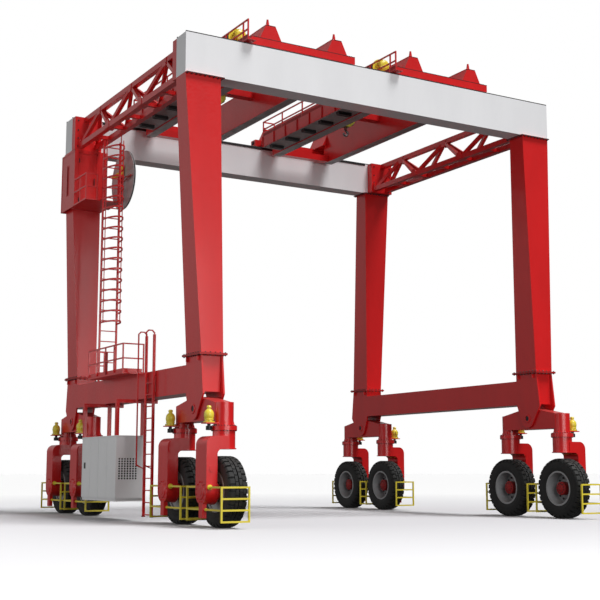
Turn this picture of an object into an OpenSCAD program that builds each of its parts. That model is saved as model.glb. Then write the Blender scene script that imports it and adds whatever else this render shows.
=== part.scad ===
// Rubber tyred gantry crane with two girders, two trolleys and eight steered wheels.
// Millimetres. X runs along the girders, Y is the travel direction, Z is up from the ground.
// The origin lies on the ground, at the middle of the whole machine's footprint.

/* [Girders] */
// Length of each main girder
girder_l = 11600; // [10500:100:14000]
// Width of each main girder
girder_w = 550; // [450:10:700]
// Height of each main girder
girder_h = 1025; // [900:25:1300]
// Distance between the two girders, centre to centre
girder_gauge = 8180; // [7600:20:9800]
// Height of the girders' underside above the ground
girder_z = 10850; // [9900:50:13000]
// Width of a trolley rail
rail_w = 60; // [40:5:100]
// Height of a trolley rail
rail_h = 50; // [40:5:80]
// Distance from a girder's end to its rail's end
rail_inset = 450; // [300:10:600]
// Height of a rail's end stop
stop_h = 100; // [90:10:400]

/* [Legs] */
// Height of the bolted joint between a leg and its saddle
leg_joint_z = 3985; // [3700:5:4400]
// Length of a leg's top along the girder
leg_top_l = 955; // [800:5:1100]
// Length of a leg's foot along the girder
leg_foot_l = 575; // [540:5:700]
// Width of a leg's foot in the travel direction
leg_foot_w = 835; // [800:5:900]
// Thickness of a flange plate
flange_t = 25; // [15:1:35]
// How far a flange plate stands out round a leg
flange_over = 75; // [40:5:100]

/* [Sills and saddles] */
// Height of a sill beam
sill_h = 670; // [500:10:700]
// Distance from the leg joint down to the sill's top
sill_drop = 215; // [150:5:300]
// Thickness of a saddle's side plates
saddle_plate_t = 45; // [30:1:60]
// Depth of the recess between the side plates, on the saddle's end
saddle_recess = 50; // [30:5:80]
// How far the side plates flare out at their widest
saddle_flare = 110; // [60:5:150]
// Radius of a bogie's pivot pin
pivot_r = 70; // [50:1:90]
// Height of the pivot pin above the ground
pivot_z = 2710; // [2680:5:2730]
// Radius of the side plates' round end
saddle_end_r = 260; // [230:5:270]

/* [Bogies] */
// Distance between the front and the back bogie, centre to centre
wheelbase = 8466; // [8400:2:10200]
// Distance between the two wheels of a bogie
wheel_pitch = 2124; // [2110:2:2300]
// Gap between a bogie beam and a saddle's side plate
beam_gap = 10; // [6:1:15]
// Height of a bogie beam's underside
beam_z = 2410; // [2380:5:2450]
// Height of a bogie beam's ridge above its underside
beam_ridge = 575; // [500:5:580]
// Height of a bogie beam's ends above its underside
beam_end_h = 405; // [350:5:450]
// Radius of a bogie beam's end columns
column_r = 220; // [180:5:240]
// Radius of a slewing ring
ring_r = 300; // [270:5:330]
// Thickness of each half of a slewing ring
ring_t = 50; // [30:5:70]
// Height of the split between the two halves of a slewing ring
ring_z = 2225; // [2200:5:2260]
// Running gap between the two halves of a slewing ring
ring_gap = 0.5; // [0.3:0.1:0.9]
// Radius of a steering motor's body
motor_r = 115; // [90:5:130]
// Height of a steering motor's body
motor_h = 270; // [200:10:320]
// Radius of a steering pinion
pinion_r = 70; // [50:5:80]
// Height of a steering motor's plate above the slewing ring
motor_plate_lift = 45; // [30:5:70]
// Thickness of a steering motor's plate
motor_plate_t = 25; // [15:1:35]
// Gap between a steering pinion and the slewing ring
pinion_gap = 12; // [6:1:20]

/* [Forks] */
// Radius of a fork's column
fork_column_r = 260; // [220:5:280]
// Height of the underside of a fork's column
fork_foot_z = 1750; // [1720:5:1800]
// Height of a fork's top edge
fork_top_z = 2045; // [2000:5:2100]
// Width of a fork in the travel direction
fork_w = 560; // [480:10:600]
// Distance from the wheel's middle plane to the fork's outer face
fork_out = 565; // [540:5:600]
// Thickness of a fork's arm
fork_arm_t = 270; // [200:5:280]
// Radius of a fork's rounded shoulder
fork_shoulder_r = 200; // [120:10:260]
// Radius of the gear case beside the wheel
gear_case_r = 290; // [250:5:320]
// Thickness of the gear case beside the wheel
gear_case_t = 35; // [20:1:45]
// Radius of the wheel's drive hub
hub_r = 175; // [140:5:190]
// How far the hub runs past the wheel's middle plane
hub_l = 90; // [20:5:120]
// Width of the foot below a fork's arm
foot_w = 190; // [120:10:260]
// Height of the foot's underside above the ground
foot_z = 220; // [180:10:380]

/* [Wheels] */
// Diameter of a tyre
tyre_d = 1600; // [1500:10:1650]
// Width of a tyre
tyre_w = 470; // [400:10:490]
// Diameter of a rim
rim_d = 900; // [820:10:960]
// Width of a rim
rim_w = 420; // [380:5:430]
// Thickness of a rim's barrel
rim_t = 30; // [20:1:40]
// Height of a rim's lips above its barrel
rim_lip = 15; // [10:1:20]
// Thickness of a rim's lips
rim_lip_t = 20; // [12:1:25]
// Radial gap between a rim's disc and the drive hub
hub_gap = 0.5; // [0.3:0.1:0.9]
// Distance from the axle to a wheel guard
guard_reach = 880; // [860:5:890]
// How far a guard runs to the outer side of its wheel
guard_out = 505; // [450:5:510]
// How far a guard runs to the inner side of its wheel
guard_in = 215; // [200:5:240]
// Height of a guard's lowest rail
guard_z = 140; // [120:5:200]
// Height of a guard, lowest to highest rail
guard_h = 785; // [700:5:800]
// Size of a guard's square tubes
guard_t = 40; // [30:1:45]

/* [Trolleys] */
// Distance from the portal's middle to the left trolley's middle
trolley_left_x = -2370; // [-2500:10:-2300]
// Distance from the portal's middle to the right trolley's middle
trolley_right_x = 2120; // [2050:10:2300]
// Length of a trolley's end beams
end_beam_l = 3120; // [3000:20:3200]
// Width of a trolley's end beams
end_beam_w = 300; // [240:10:340]
// Height of the underside of an end beam above the girder
end_beam_lift = 95; // [80:5:120]
// Height of an end beam
end_beam_h = 200; // [160:10:260]
// Radius of a trolley's wheels
trolley_wheel_r = 115; // [90:5:118]
// Distance from an end beam's end to its wheel's middle
trolley_wheel_in = 230; // [180:10:300]
// Gap between a trolley's wheels and the rail
trolley_wheel_gap = 0.3; // [0.2:0.1:0.8]
// Distance between a trolley's two cross girders
cross_pitch = 2000; // [1900:10:2100]
// Width of a cross girder between the main girders
cross_w = 300; // [260:10:400]
// How far a cross girder's heads reach in over its box
cross_head_l = 200; // [150:10:400]
// Width of a cross girder's foot over the end beams
cross_foot_w = 650; // [600:10:680]
// Width of a cross girder's ridge
cross_ridge_w = 270; // [220:10:320]
// Height of a cross girder's ridge above the end beams
cross_ridge_h = 365; // [320:5:500]
// Depth of a cross girder below the end beams' top
cross_drop = 590; // [500:10:640]
// Gap between a cross girder and the main girders
cross_gap = 315; // [250:5:400]
// Distance from the trolley's middle to its walkway's outer side
walk_reach = 1820; // [1780:5:1850]
// Gap between a walkway's deck and the rail it passes over
walk_gap = 15; // [10:1:30]
// Thickness of a walkway's deck
walk_t = 30; // [20:1:35]
// How far a walkway's deck stands out in front of the front girder
walk_front = 175; // [100:5:250]
// Height of a walkway's rail above its deck
walk_rail_h = 500; // [450:10:900]
// Distance from the machine's middle to the hook, in the travel direction
hook_y = 300; // [200:20:900]
// Distance from the trolley's middle to the hook, towards the walkway
hook_x = 330; // [0:10:400]
// Width of the beam that carries the upper sheaves
sheave_beam_w = 300; // [240:10:360]
// Height of the beam that carries the upper sheaves
sheave_beam_h = 200; // [160:10:260]
// Length of rope between the hook block and the beam above it
rope_l = 40; // [20:10:400]
// Radius of the hoisting rope
rope_r = 12; // [8:1:16]
// Radius of the hoist's drum
drum_r = 240; // [150:10:250]
// Height of the drum's middle above the walkway
drum_lift = 430; // [380:10:480]
// Length of the hook block
block_l = 560; // [400:10:600]
// Width of the hook block
block_w = 220; // [140:10:240]
// Height of the hook block
block_h = 300; // [220:10:400]
// Radius of the hook
hook_r = 110; // [80:5:140]
// Length of the walkway's box to each side of its middle
walk_half_l = 2950; // [2700:50:3100]

/* [End trusses] */
// Distance from the girder's end to the truss's top chord
chord_top_in = 380; // [350:10:450]
// Distance from the girder's end to the truss's outer chord
chord_out_in = 200; // [150:10:250]
// Distance from the girder's end to the truss's inner chord
chord_inner_in = 700; // [650:10:760]
// Size of the lower chords
chord_t = 150; // [120:5:180]
// Size of the top chord
chord_top_t = 150; // [120:5:230]
// Size of the truss's diagonals
diagonal_t = 105; // [70:5:115]
// Thickness of the boxes at the truss's ends
truss_end_t = 250; // [200:10:300]
// Number of bays in a truss
truss_bays = 6; // [4:2:8]

/* [Access platform] */
// How far the deck stands out from the sill
deck_out = 440; // [380:10:500]
// Distance from the machine's middle to the deck's front end
deck_front = 850; // [800:10:900]
// Distance from the machine's middle to the deck's back end
deck_back = 1700; // [1600:10:1750]
// Thickness of the deck
deck_t = 40; // [30:1:60]
// Height of the deck's railing
railing_h = 760; // [700:10:1000]
// Size of a railing tube
railing_t = 34; // [28:1:45]

/* [Ladders] */
// Width of each ladder
ladder_w = 500; // [450:10:560]
// Distance between two rungs
rung_pitch = 300; // [250:5:330]
// Thickness of a rung
rung_t = 28; // [22:1:35]
// Distance from the machine's middle to the ground ladder's middle
ground_ladder_y = 1750; // [1720:5:1780]
// Height of the ground ladder's feet
ground_ladder_z = 120; // [80:10:400]
// Size of the ground ladder's square stiles
stile_t = 60; // [40:5:70]
// Height of the ground ladder's grab loops above the deck
loop_h = 980; // [900:10:1100]
// Depth of the ground ladder's grab loops below the deck
loop_down = 2400; // [900:50:2500]
// Half the thickness of a grab loop
loop_t = 15; // [12:1:20]
// Depth of the ground ladder's grab loops
loop_w = 220; // [180:10:260]
// Distance from the machine's middle to the caged ladder
caged_ladder_y = 2150; // [2120:10:2200]
// Distance from the girder's underside down to the caged ladder's top
caged_ladder_drop = 30; // [20:5:100]
// Depth of the ladder's cage
cage_depth = 700; // [660:10:760]
// Height of the lowest hoop above the sill
cage_start = 1650; // [1600:50:2200]
// Thickness of a hoop's flat bar
hoop_t = 16; // [10:1:30]
// Width of a hoop's flat bar
hoop_w = 50; // [30:5:60]
// Size of the straps that join the hoops
strap_t = 22; // [18:1:40]
// Distance between two hoops
hoop_pitch = 300; // [250:10:900]

/* [Power cabinet] */
// Length of the cabinet in the travel direction
cabinet_l = 2500; // [2300:20:2520]
// Width of the cabinet
cabinet_w = 800; // [660:10:850]
// Height of the cabinet
cabinet_h = 1680; // [1350:10:1700]
// Height of the cabinet's floor above the ground
cabinet_z = 490; // [450:10:600]
// Distance from the machine's middle to the cabinet's front end
cabinet_front = 860; // [820:10:900]
// Distance from the sill's outer face to the cabinet's outer face
cabinet_out = 580; // [540:10:620]
// Size of the hangers that carry the cabinet
hanger_t = 90; // [70:5:120]

/* [Cable reel] */
// Height of the reel house
house_h = 1750; // [1650:50:2000]
// Thickness of the reel house's wall on the girder's end side
house_wall = 25; // [20:1:40]
// How far the reel house stands out in front of the leg
house_front = 420; // [300:5:450]
// How far the reel house stands out behind the leg
house_back = 190; // [150:5:400]
// Length of the reel platform
reel_deck_l = 1060; // [1020:10:1080]
// How far the reel house stands out on the leg's inner side
house_in = 45; // [30:5:60]
// Distance from the reel house's inner side to the reel
reel_off = 110; // [90:5:130]
// Radius of the cable reel
reel_r = 880; // [800:10:900]
// Thickness of the cable reel
reel_t = 60; // [50:5:100]
// Radius of the reel's shaft
reel_shaft_r = 60; // [40:5:80]
// Distance from the reel's middle to the leg's face
reel_reach = 1400; // [1360:10:1410]
// Height of the reel's middle above the reel platform
reel_lift = 720; // [680:10:900]

/* [Hidden] */
$fn = 48;
eps = 0.01;
red = "#d62828";
grey_white = "#e4e4e6";
yellow = "#e0cf4a";
light_grey = "#bdbdbf";
mid_grey = "#8b8d90";
dark = "#26282a";

CORNERS = [["front_left", -1, -1], ["front_right", 1, -1], ["back_left", -1, 1], ["back_right", 1, 1]];
SIDES = [["left", -1], ["right", 1]];
WHEELS = [1, 2];

// Half sizes of the portal, measured from its own middle
half_l = girder_l / 2;
girder_y = girder_gauge / 2;
girder_in_y = girder_y - girder_w / 2;
girder_out_y = girder_y + girder_w / 2;
girder_top = girder_z + girder_h;
rail_top = girder_top + rail_h;
leg_in_x = half_l - leg_top_l;
leg_out_x = leg_in_x + leg_foot_l;
leg_in_y = girder_in_y;
leg_out_y = leg_in_y + leg_foot_w;
wheel_x = leg_in_x + leg_foot_l / 2;
bogie_y = wheelbase / 2;
axle_z = tyre_d / 2;

// The cabinet stands out on the left, so the footprint's middle is off the portal's middle
cabinet_x = leg_out_x + cabinet_out;
portal_x = (cabinet_x - half_l) / 2;

sill_top = leg_joint_z - sill_drop;
sill_z = sill_top - sill_h;
web_in_x = leg_in_x + saddle_plate_t;
web_out_x = leg_out_x - saddle_plate_t;
beam_w = leg_foot_l - 2 * saddle_plate_t - 2 * beam_gap;

// Heights of the deck and the reel platform
deck_z = sill_top + deck_t;
house_top = girder_z - flange_t * 2;
house_z = house_top - house_h;
reel_deck_y = leg_in_y - house_front - reel_deck_l;

trolley_wheel_z = rail_top + trolley_wheel_gap + trolley_wheel_r;
end_beam_z = girder_top + end_beam_lift;
end_beam_top = end_beam_z + end_beam_h;
cross_z = end_beam_top - cross_drop;
ridge_top = end_beam_top + cross_ridge_h;
cross_half_l = girder_in_y - cross_gap;

walk_top = rail_top + walk_gap + walk_t;

// Where a leg's back face lies at a height
function leg_back_y(z) =
  leg_out_y + (girder_out_y - leg_out_y) * (z - leg_joint_z) / (girder_z - leg_joint_z);

// Moves the portal's own frame to the footprint's middle
module placed() translate([portal_x, 0, 0]) children();

// A box between two opposite corners
module block(low, high) translate(low) cube(high - low);

// A square bar from one point to another
module bar(from, to, size) {
  way = to - from;
  length = norm(way);
  translate(from)
    rotate([0, acos(way.z / length), atan2(way.y, way.x)])
      translate([-size / 2, -size / 2, 0]) cube([size, size, length]);
}

// Mirrors a piece drawn at the right back into one of the four corners
module at_corner(sx, sy)
  placed() mirror([sx < 0 ? 1 : 0, 0, 0]) mirror([0, sy < 0 ? 1 : 0, 0]) children();

// Moves a piece drawn about a trolley's middle to the left or the right trolley
module at_trolley(s) placed() translate([s[1] < 0 ? trolley_left_x : trolley_right_x, 0, 0]) children();

// Mirrors a piece drawn at the right to one side
module at_side(sx) placed() mirror([sx < 0 ? 1 : 0, 0, 0]) children();

// An outline in the Y-Z plane, given thickness along X
module across_x(x0, x1) translate([x0, 0, 0]) rotate([90, 0, 90]) linear_extrude(x1 - x0) children();

// An outline in the X-Z plane, given thickness along Y
module across_y(y0, y1) translate([0, y1, 0]) rotate([90, 0, 0]) linear_extrude(y1 - y0) children();

module girder(sy) color(grey_white) placed() {
  y = sy * girder_y;
  block([-half_l, y - girder_w / 2, girder_z], [half_l, y + girder_w / 2, girder_top]);
  block(
    [-half_l + rail_inset, y - rail_w / 2, girder_top - eps],
    [half_l - rail_inset, y + rail_w / 2, rail_top]
  );
  for (s = [-1, 1])
    block(
      [s * (half_l - rail_inset) - 40, y - rail_w, girder_top - eps],
      [s * (half_l - rail_inset) + 40, y + rail_w, girder_top + stop_h]
    );
}

module leg() {
  intersection() {
    across_y(leg_in_y, leg_out_y)
      polygon([
        [leg_in_x, leg_joint_z],
        [leg_out_x, leg_joint_z],
        [half_l, girder_z],
        [leg_in_x, girder_z]
      ]);
    across_x(leg_in_x, half_l)
      polygon([
        [leg_in_y, leg_joint_z],
        [leg_out_y, leg_joint_z],
        [girder_out_y, girder_z],
        [leg_in_y, girder_z]
      ]);
  }
  block(
    [leg_in_x - flange_over, leg_in_y - flange_over, leg_joint_z],
    [leg_out_x + flange_over, leg_out_y + flange_over, leg_joint_z + flange_t]
  );
  block(
    [leg_in_x - flange_over, leg_in_y - flange_over, girder_z - flange_t],
    [half_l, girder_out_y + flange_over, girder_z]
  );
}

module legs(sx) color(red) for (sy = [-1, 1]) at_corner(sx, sy) leg();

module saddle() {
  block(
    [web_in_x - eps, leg_in_y, sill_z],
    [web_out_x + eps, leg_out_y - saddle_recess, leg_joint_z - flange_t]
  );
  block(
    [leg_in_x - flange_over, leg_in_y - flange_over, leg_joint_z - flange_t - eps],
    [leg_out_x + flange_over, leg_out_y + flange_over, leg_joint_z]
  );
  for (x = [leg_in_x, web_out_x]) difference() {
    across_x(x, x + saddle_plate_t) union() {
      polygon([
        [leg_in_y, leg_joint_z - flange_t],
        [leg_out_y, leg_joint_z - flange_t],
        [leg_out_y + saddle_flare, sill_z - 50],
        [bogie_y + saddle_end_r * cos(20), pivot_z - saddle_end_r * sin(20)],
        [bogie_y - saddle_end_r * cos(20), pivot_z - saddle_end_r * sin(20)],
        [leg_in_y, sill_z]
      ]);
      translate([bogie_y, pivot_z]) circle(saddle_end_r);
    }
    translate([0, bogie_y, pivot_z]) rotate([0, 90, 0]) cylinder(h = half_l, r = pivot_r + 0.4);
  }
}

module sill(sx) color(red) {
  at_side(sx) block([leg_in_x, -leg_in_y - eps, sill_z], [leg_out_x, leg_in_y + eps, sill_top]);
  for (sy = [-1, 1]) at_corner(sx, sy) saddle();
}

// A bogie's beam, its two end columns, the upper halves of the slewing rings and the pivot pin
module bogie_beam(c) color(red) at_corner(c[1], c[2]) {
  half = wheel_pitch / 2;
  across_x(wheel_x - beam_w / 2, wheel_x + beam_w / 2)
    translate([bogie_y, beam_z])
      polygon([
        [-half, 0],
        [half, 0],
        [half, beam_end_h],
        [170, beam_ridge],
        [-170, beam_ridge],
        [-half, beam_end_h]
      ]);
  for (s = [-1, 1]) translate([wheel_x, bogie_y + s * half, 0]) {
    translate([0, 0, ring_z + ring_t - eps])
      cylinder(h = beam_z + beam_end_h - ring_z - ring_t + eps, r = column_r);
    translate([0, 0, ring_z]) cylinder(h = ring_t, r = ring_r);
    translate([0, -motor_r - 15, ring_z + ring_t + motor_plate_lift])
      cube([ring_r + pinion_gap + pinion_r + motor_r + 20, 2 * motor_r + 30, motor_plate_t]);
  }
  translate([wheel_x, bogie_y, pivot_z])
    rotate([0, 90, 0]) cylinder(h = leg_foot_l - 2 * saddle_plate_t / 3, r = pivot_r, center = true);
}

// The two gear motors on one bogie that turn its forks
module steering_motors(c) color(yellow) at_corner(c[1], c[2])
  for (s = [-1, 1])
    translate([wheel_x + ring_r + pinion_gap + pinion_r, bogie_y + s * wheel_pitch / 2, 0]) {
      base = ring_z + ring_t + motor_plate_lift + motor_plate_t;
      translate([0, 0, base]) cylinder(h = 30, r = motor_r + 15);
      translate([0, 0, base + 29]) cylinder(h = motor_h - 29, r = motor_r);
      translate([0, 0, base + motor_h - 1]) cylinder(h = 80, r1 = motor_r, r2 = motor_r * 0.5);
      translate([0, 0, base + motor_h + 78]) cylinder(h = 60, r = motor_r * 0.45);
      translate([0, 0, ring_z - ring_t])
        cylinder(h = 2 * ring_t + motor_plate_lift, r = pinion_r * 0.6);
      translate([0, 0, ring_z - ring_t]) cylinder(h = 2 * ring_t, r = pinion_r);
    }

// Everything of one wheel is drawn about the wheel's steering axis, outer side towards +X
module at_wheel(c, w)
  at_corner(c[1], c[2])
    translate([wheel_x, bogie_y + (w == 1 ? 1 : -1) * wheel_pitch / 2, 0]) children();

module fork(c, w) color(red) at_wheel(c, w) {
  arm_in = fork_out - fork_arm_t;
  translate([0, 0, fork_foot_z]) cylinder(h = ring_z - ring_gap - fork_foot_z, r = fork_column_r);
  translate([0, 0, ring_z - ring_gap - ring_t]) cylinder(h = ring_t, r = ring_r);
  translate([0, 0, fork_foot_z]) cylinder(h = 25, r = fork_column_r + 25);
  across_y(-fork_w / 2, fork_w / 2) difference() {
    union() {
      translate([0, fork_foot_z]) square([fork_out - fork_shoulder_r, fork_top_z - fork_foot_z]);
      translate([arm_in, axle_z]) square([fork_arm_t, fork_top_z - fork_shoulder_r - axle_z]);
      translate([fork_out - fork_shoulder_r, fork_top_z - fork_shoulder_r]) circle(fork_shoulder_r);
      translate([arm_in - 120, fork_foot_z - 120]) square([140, 121]);
    }
    translate([arm_in - 120, fork_foot_z - 120]) circle(120);
  }
  translate([arm_in, 0, axle_z]) rotate([0, 90, 0]) cylinder(h = fork_arm_t, r = fork_w / 2);
  translate([arm_in - gear_case_t, 0, axle_z])
    rotate([0, 90, 0]) cylinder(h = gear_case_t + 1, r = gear_case_r);
  translate([-hub_l, 0, axle_z])
    rotate([0, 90, 0]) cylinder(h = hub_l + arm_in, r = hub_r);
  block([guard_out - guard_t, -foot_w / 2, foot_z], [fork_out, foot_w / 2, axle_z]);
}

module guard() {
  for (x = [-guard_in, guard_out - guard_t])
    block([x, -guard_t / 2, guard_z], [x + guard_t, guard_t / 2, guard_z + guard_h]);
  for (k = [0 : 3])
    translate([-guard_in, -guard_t / 2, guard_z + k * (guard_h - guard_t) / 3])
      cube([guard_in + guard_out, guard_t, guard_t]);
}

// The front and the back guard of one wheel, with the rails that hold them to the fork
module guards(c, w) color(yellow) at_wheel(c, w) for (s = [-1, 1]) {
  translate([0, s * guard_reach, 0]) guard();
  post_x = guard_out - guard_t;
  arm_y = fork_w / 2;
  mirror([0, s < 0 ? 1 : 0, 0]) {
    for (rail = [[1, foot_w / 2], [3, arm_y]])
      block(
        [post_x, rail[1], guard_z + rail[0] * (guard_h - guard_t) / 3],
        [post_x + guard_t, guard_reach, guard_z + rail[0] * (guard_h - guard_t) / 3 + guard_t]
      );
  }
}

module tyre(c, w) color(dark) at_wheel(c, w) translate([0, 0, axle_z]) rotate([0, 90, 0]) {
  out = tyre_d / 2;
  half = tyre_w / 2;
  bead = rim_w / 2 - rim_lip_t;
  rotate_extrude($fn = 96) polygon([
    [rim_d / 2, -bead], [rim_d / 2 + rim_lip, -bead], [rim_d / 2 + rim_lip + 45, -half + 10],
    [out - 180, -half], [out - 70, -half + 12], [out - 18, -half + 45], [out, -half + 100],
    [out, half - 100], [out - 18, half - 45], [out - 70, half - 12], [out - 180, half],
    [rim_d / 2 + rim_lip + 45, half - 10], [rim_d / 2 + rim_lip, bead], [rim_d / 2, bead]
  ]);
}

// A dished wheel: a barrel with a lip at each edge and a disc near its outer side
module rim(c, w) color(mid_grey) at_wheel(c, w) translate([0, 0, axle_z]) rotate([0, 90, 0]) {
  out = rim_d / 2;
  half = rim_w / 2;
  bead = half - rim_lip_t;
  rotate_extrude($fn = 96) polygon([
    [out - rim_t, -half], [out + rim_lip, -half], [out + rim_lip, -bead], [out, -bead],
    [out, bead], [out + rim_lip, bead], [out + rim_lip, half], [out - rim_t, half],
    [out - rim_t, half - 40], [hub_r + 60, half - 80], [hub_r + hub_gap, half - 80],
    [hub_r + hub_gap, half - 150], [hub_r + 60, half - 150], [hub_r + 60, half - 115],
    [out - rim_t, half - 80]
  ]);
}

// A trolley's frame: two end beams with their wheels, two cross girders and two ties
module trolley_frame(s) color(red) at_trolley(s) {
  for (sy = [-1, 1]) mirror([0, sy < 0 ? 1 : 0, 0]) {
    block(
      [-end_beam_l / 2, girder_y - end_beam_w / 2, end_beam_z],
      [end_beam_l / 2, girder_y + end_beam_w / 2, end_beam_top]
    );
    for (x = [-1, 1])
      translate([x * (end_beam_l / 2 - trolley_wheel_in), girder_y, trolley_wheel_z])
        rotate([90, 0, 0]) cylinder(h = rail_w * 2, r = trolley_wheel_r, center = true);
    block(
      [-cross_pitch / 2, cross_half_l - 250, cross_z],
      [cross_pitch / 2, cross_half_l, cross_z + 200]
    );
  }
  block(
    [-cross_pitch / 2, hook_y - sheave_beam_w / 2, end_beam_top],
    [cross_pitch / 2, hook_y + sheave_beam_w / 2, end_beam_top + sheave_beam_h]
  );
  for (x = [-1, 1]) translate([x * cross_pitch / 2, 0, 0]) {
    block([-cross_w / 2, -cross_half_l, cross_z], [cross_w / 2, cross_half_l, ridge_top]);
    for (sy = [-1, 1]) mirror([0, sy < 0 ? 1 : 0, 0])
      across_y(cross_half_l - cross_head_l, girder_y + end_beam_w / 2) polygon([
        [-cross_foot_w / 2, end_beam_top - 30],
        [cross_foot_w / 2, end_beam_top - 30],
        [cross_ridge_w / 2, ridge_top + 5],
        [-cross_ridge_w / 2, ridge_top + 5]
      ]);
    for (sy = [-1, 1])
      translate([-cross_ridge_w / 4, sy * (girder_y + end_beam_w / 2 - 60), ridge_top])
        translate([0, 0, -1]) cylinder(h = 170, r1 = 50, r2 = 25);
  }
}

// The walkway box beside a trolley's left cross girder, with its railing
module trolley_walkway(s) color(red) at_trolley(s) {
  inner = -cross_pitch / 2 - cross_w / 2;
  outer = -walk_reach;
  front = -girder_y - girder_w / 2 - walk_front;
  box_front = -girder_in_y + 65;
  walk_z = walk_top - walk_t;
  block([outer, -walk_half_l, cross_z + 40], [outer + 30, walk_half_l, walk_top]);
  block([outer, -walk_half_l, cross_z + 40], [inner, walk_half_l, cross_z + 70]);
  block([outer, box_front, walk_z], [inner, walk_half_l, walk_top]);
  block([outer, front, walk_z], [-end_beam_l / 2 - 10, box_front + eps, walk_top]);
  n = 9;
  for (i = [0 : n - 1])
    block(
      [outer - 30, -walk_half_l + i * (2 * walk_half_l - 30) / (n - 1), cross_z + 40],
      [outer + eps, -walk_half_l + 30 + i * (2 * walk_half_l - 30) / (n - 1), walk_top]
    );
  // The railing along the outer side, a short return at the back and a second post at the front
  rail_x = outer + railing_t / 2;
  foot_z = walk_top - eps;
  y0 = front + 20;
  y1 = walk_half_l - 20;
  railing([rail_x, y0, foot_z], [rail_x, y1, foot_z], walk_rail_h, 7);
  railing([rail_x, y0, foot_z], [rail_x, y0 + 260, foot_z], walk_rail_h, 2);
  railing([rail_x, y1, foot_z], [rail_x + 400, y1, foot_z], walk_rail_h, 2);
}

// A trolley's hoist: rope drum, gear case and motor on the frame, and the hook block below
module hoist(s) color(yellow) at_trolley(s) {
  x = -walk_reach + railing_t + 15 + drum_r;
  translate([x, -3650, walk_top + drum_lift]) rotate([-90, 0, 0]) cylinder(h = 1300, r = drum_r);
  for (y = [-3500, -2900, -2450])
    block([x - 150, y - 60, walk_top], [x + 150, y + 60, walk_top + drum_lift]);
  block([x - 190, -2351, walk_top], [x + 190, -2080, walk_top + drum_lift + drum_r]);
  // Four falls of rope, the sheave housing, and a hook on its shank
  translate([-hook_x, hook_y, end_beam_top - rope_l]) {
    for (rx = [-1, 1], ry = [-1, 1])
      translate([rx * block_l / 3, ry * block_w / 3, -eps]) cylinder(h = rope_l + eps, r = rope_r);
    across_y(-block_w / 2, block_w / 2) polygon([
      [-block_l / 2, 0], [block_l / 2, 0], [block_l / 2, -block_h / 2],
      [block_l / 5, -block_h], [-block_l / 5, -block_h], [-block_l / 2, -block_h / 2]
    ]);
    translate([0, 0, -block_h - 90]) cylinder(h = 91, r = 45);
    translate([0, 0, -block_h - 90 - hook_r]) rotate([90, 0, 0]) difference() {
      rotate_extrude() translate([hook_r - 35, 0]) circle(35);
      translate([-hook_r * 2 - 25, 0, -hook_r]) cube(hook_r * 2);
    }
  }
}

// The lattice between the girders' ends: one top chord, two lower chords, diagonals on two faces
module end_truss(s) color(red) at_side(s[1]) {
  top = [half_l - chord_top_in, girder_top - chord_top_t / 2];
  low_z = girder_z + chord_t / 2 + 40;
  chords = [half_l - chord_out_in, half_l - chord_inner_in];
  y_end = girder_in_y - truss_end_t;
  bay = 2 * y_end / truss_bays;
  for (sy = [-1, 1])
    block(
      [half_l - chord_inner_in - chord_t, sy < 0 ? -girder_in_y : y_end, girder_z],
      [half_l - 10, sy < 0 ? -y_end : girder_in_y, girder_top - 5]
    );
  bar([top.x, -y_end - 1, top.y], [top.x, y_end + 1, top.y], chord_top_t);
  for (x = chords) {
    bar([x, -y_end - 1, low_z], [x, y_end + 1, low_z], chord_t);
    for (i = [0 : truss_bays - 1]) {
      y0 = -y_end + i * bay;
      bar(
        [i % 2 == 0 ? x : top.x, y0, i % 2 == 0 ? low_z : top.y],
        [i % 2 == 0 ? top.x : x, y0 + bay, i % 2 == 0 ? top.y : low_z],
        diagonal_t
      );
    }
  }
  for (i = [1 : truss_bays - 1])
    bar([chords[0], -y_end + i * bay, low_z], [chords[1], -y_end + i * bay, low_z], diagonal_t);
}

// A railing: posts along a straight line, a top rail and a middle rail
module railing(from, to, height, posts) {
  way = to - from;
  for (i = [0 : posts - 1]) {
    foot = from + way * i / (posts - 1);
    bar(foot, foot + [0, 0, height], railing_t);
  }
  unit = way / norm(way) * railing_t / 2;
  for (z = [height, height / 2])
    bar(from - unit + [0, 0, z - railing_t / 2], to + unit + [0, 0, z - railing_t / 2], railing_t);
}

// The deck on the left sill with its railings, and the hangers under the sill for the cabinet
module access_platform() color(red) placed() {
  out_x = -leg_out_x - deck_out;
  in_x = -leg_in_x;
  rail_x = out_x + railing_t / 2;
  block([out_x, -deck_front, sill_top], [in_x, deck_back, deck_z]);
  foot_z = deck_z - eps;
  y0 = -deck_front + railing_t / 2;
  y1 = deck_back - railing_t / 2;
  railing([rail_x, y0, foot_z], [rail_x, y1, foot_z], railing_h, 5);
  railing([rail_x, y0, foot_z], [-leg_out_x + 150, y0, foot_z], railing_h, 2);
  railing([rail_x, y1, foot_z], [-leg_out_x + 20, y1, foot_z], railing_h, 2);
  for (y = [-cabinet_front + 60, -cabinet_front + cabinet_l - 60]) {
    block([-cabinet_x, y - hanger_t / 2, sill_z - hanger_t], [in_x, y + hanger_t / 2, sill_z]);
    for (x = [-cabinet_x + hanger_t / 2, -cabinet_x + cabinet_w - hanger_t / 2])
      block(
        [x - hanger_t / 2, y - hanger_t / 2, cabinet_z + cabinet_h],
        [x + hanger_t / 2, y + hanger_t / 2, sill_z - hanger_t + eps]
      );
  }
}

// A grab loop's outline at a distance from its middle line
function loop_outline(x, top, d) = [
  [x - loop_w - d, top - loop_down - d],
  [x - loop_w - d, top + loop_h - 60 + d / 2],
  [x - loop_w + 60 - d / 2, top + loop_h + d],
  [x - 60 + d / 2, top + loop_h + d],
  [x + d, top + loop_h - 60 + d / 2],
  [x + d, top - loop_down - 100 - d]
];

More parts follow.
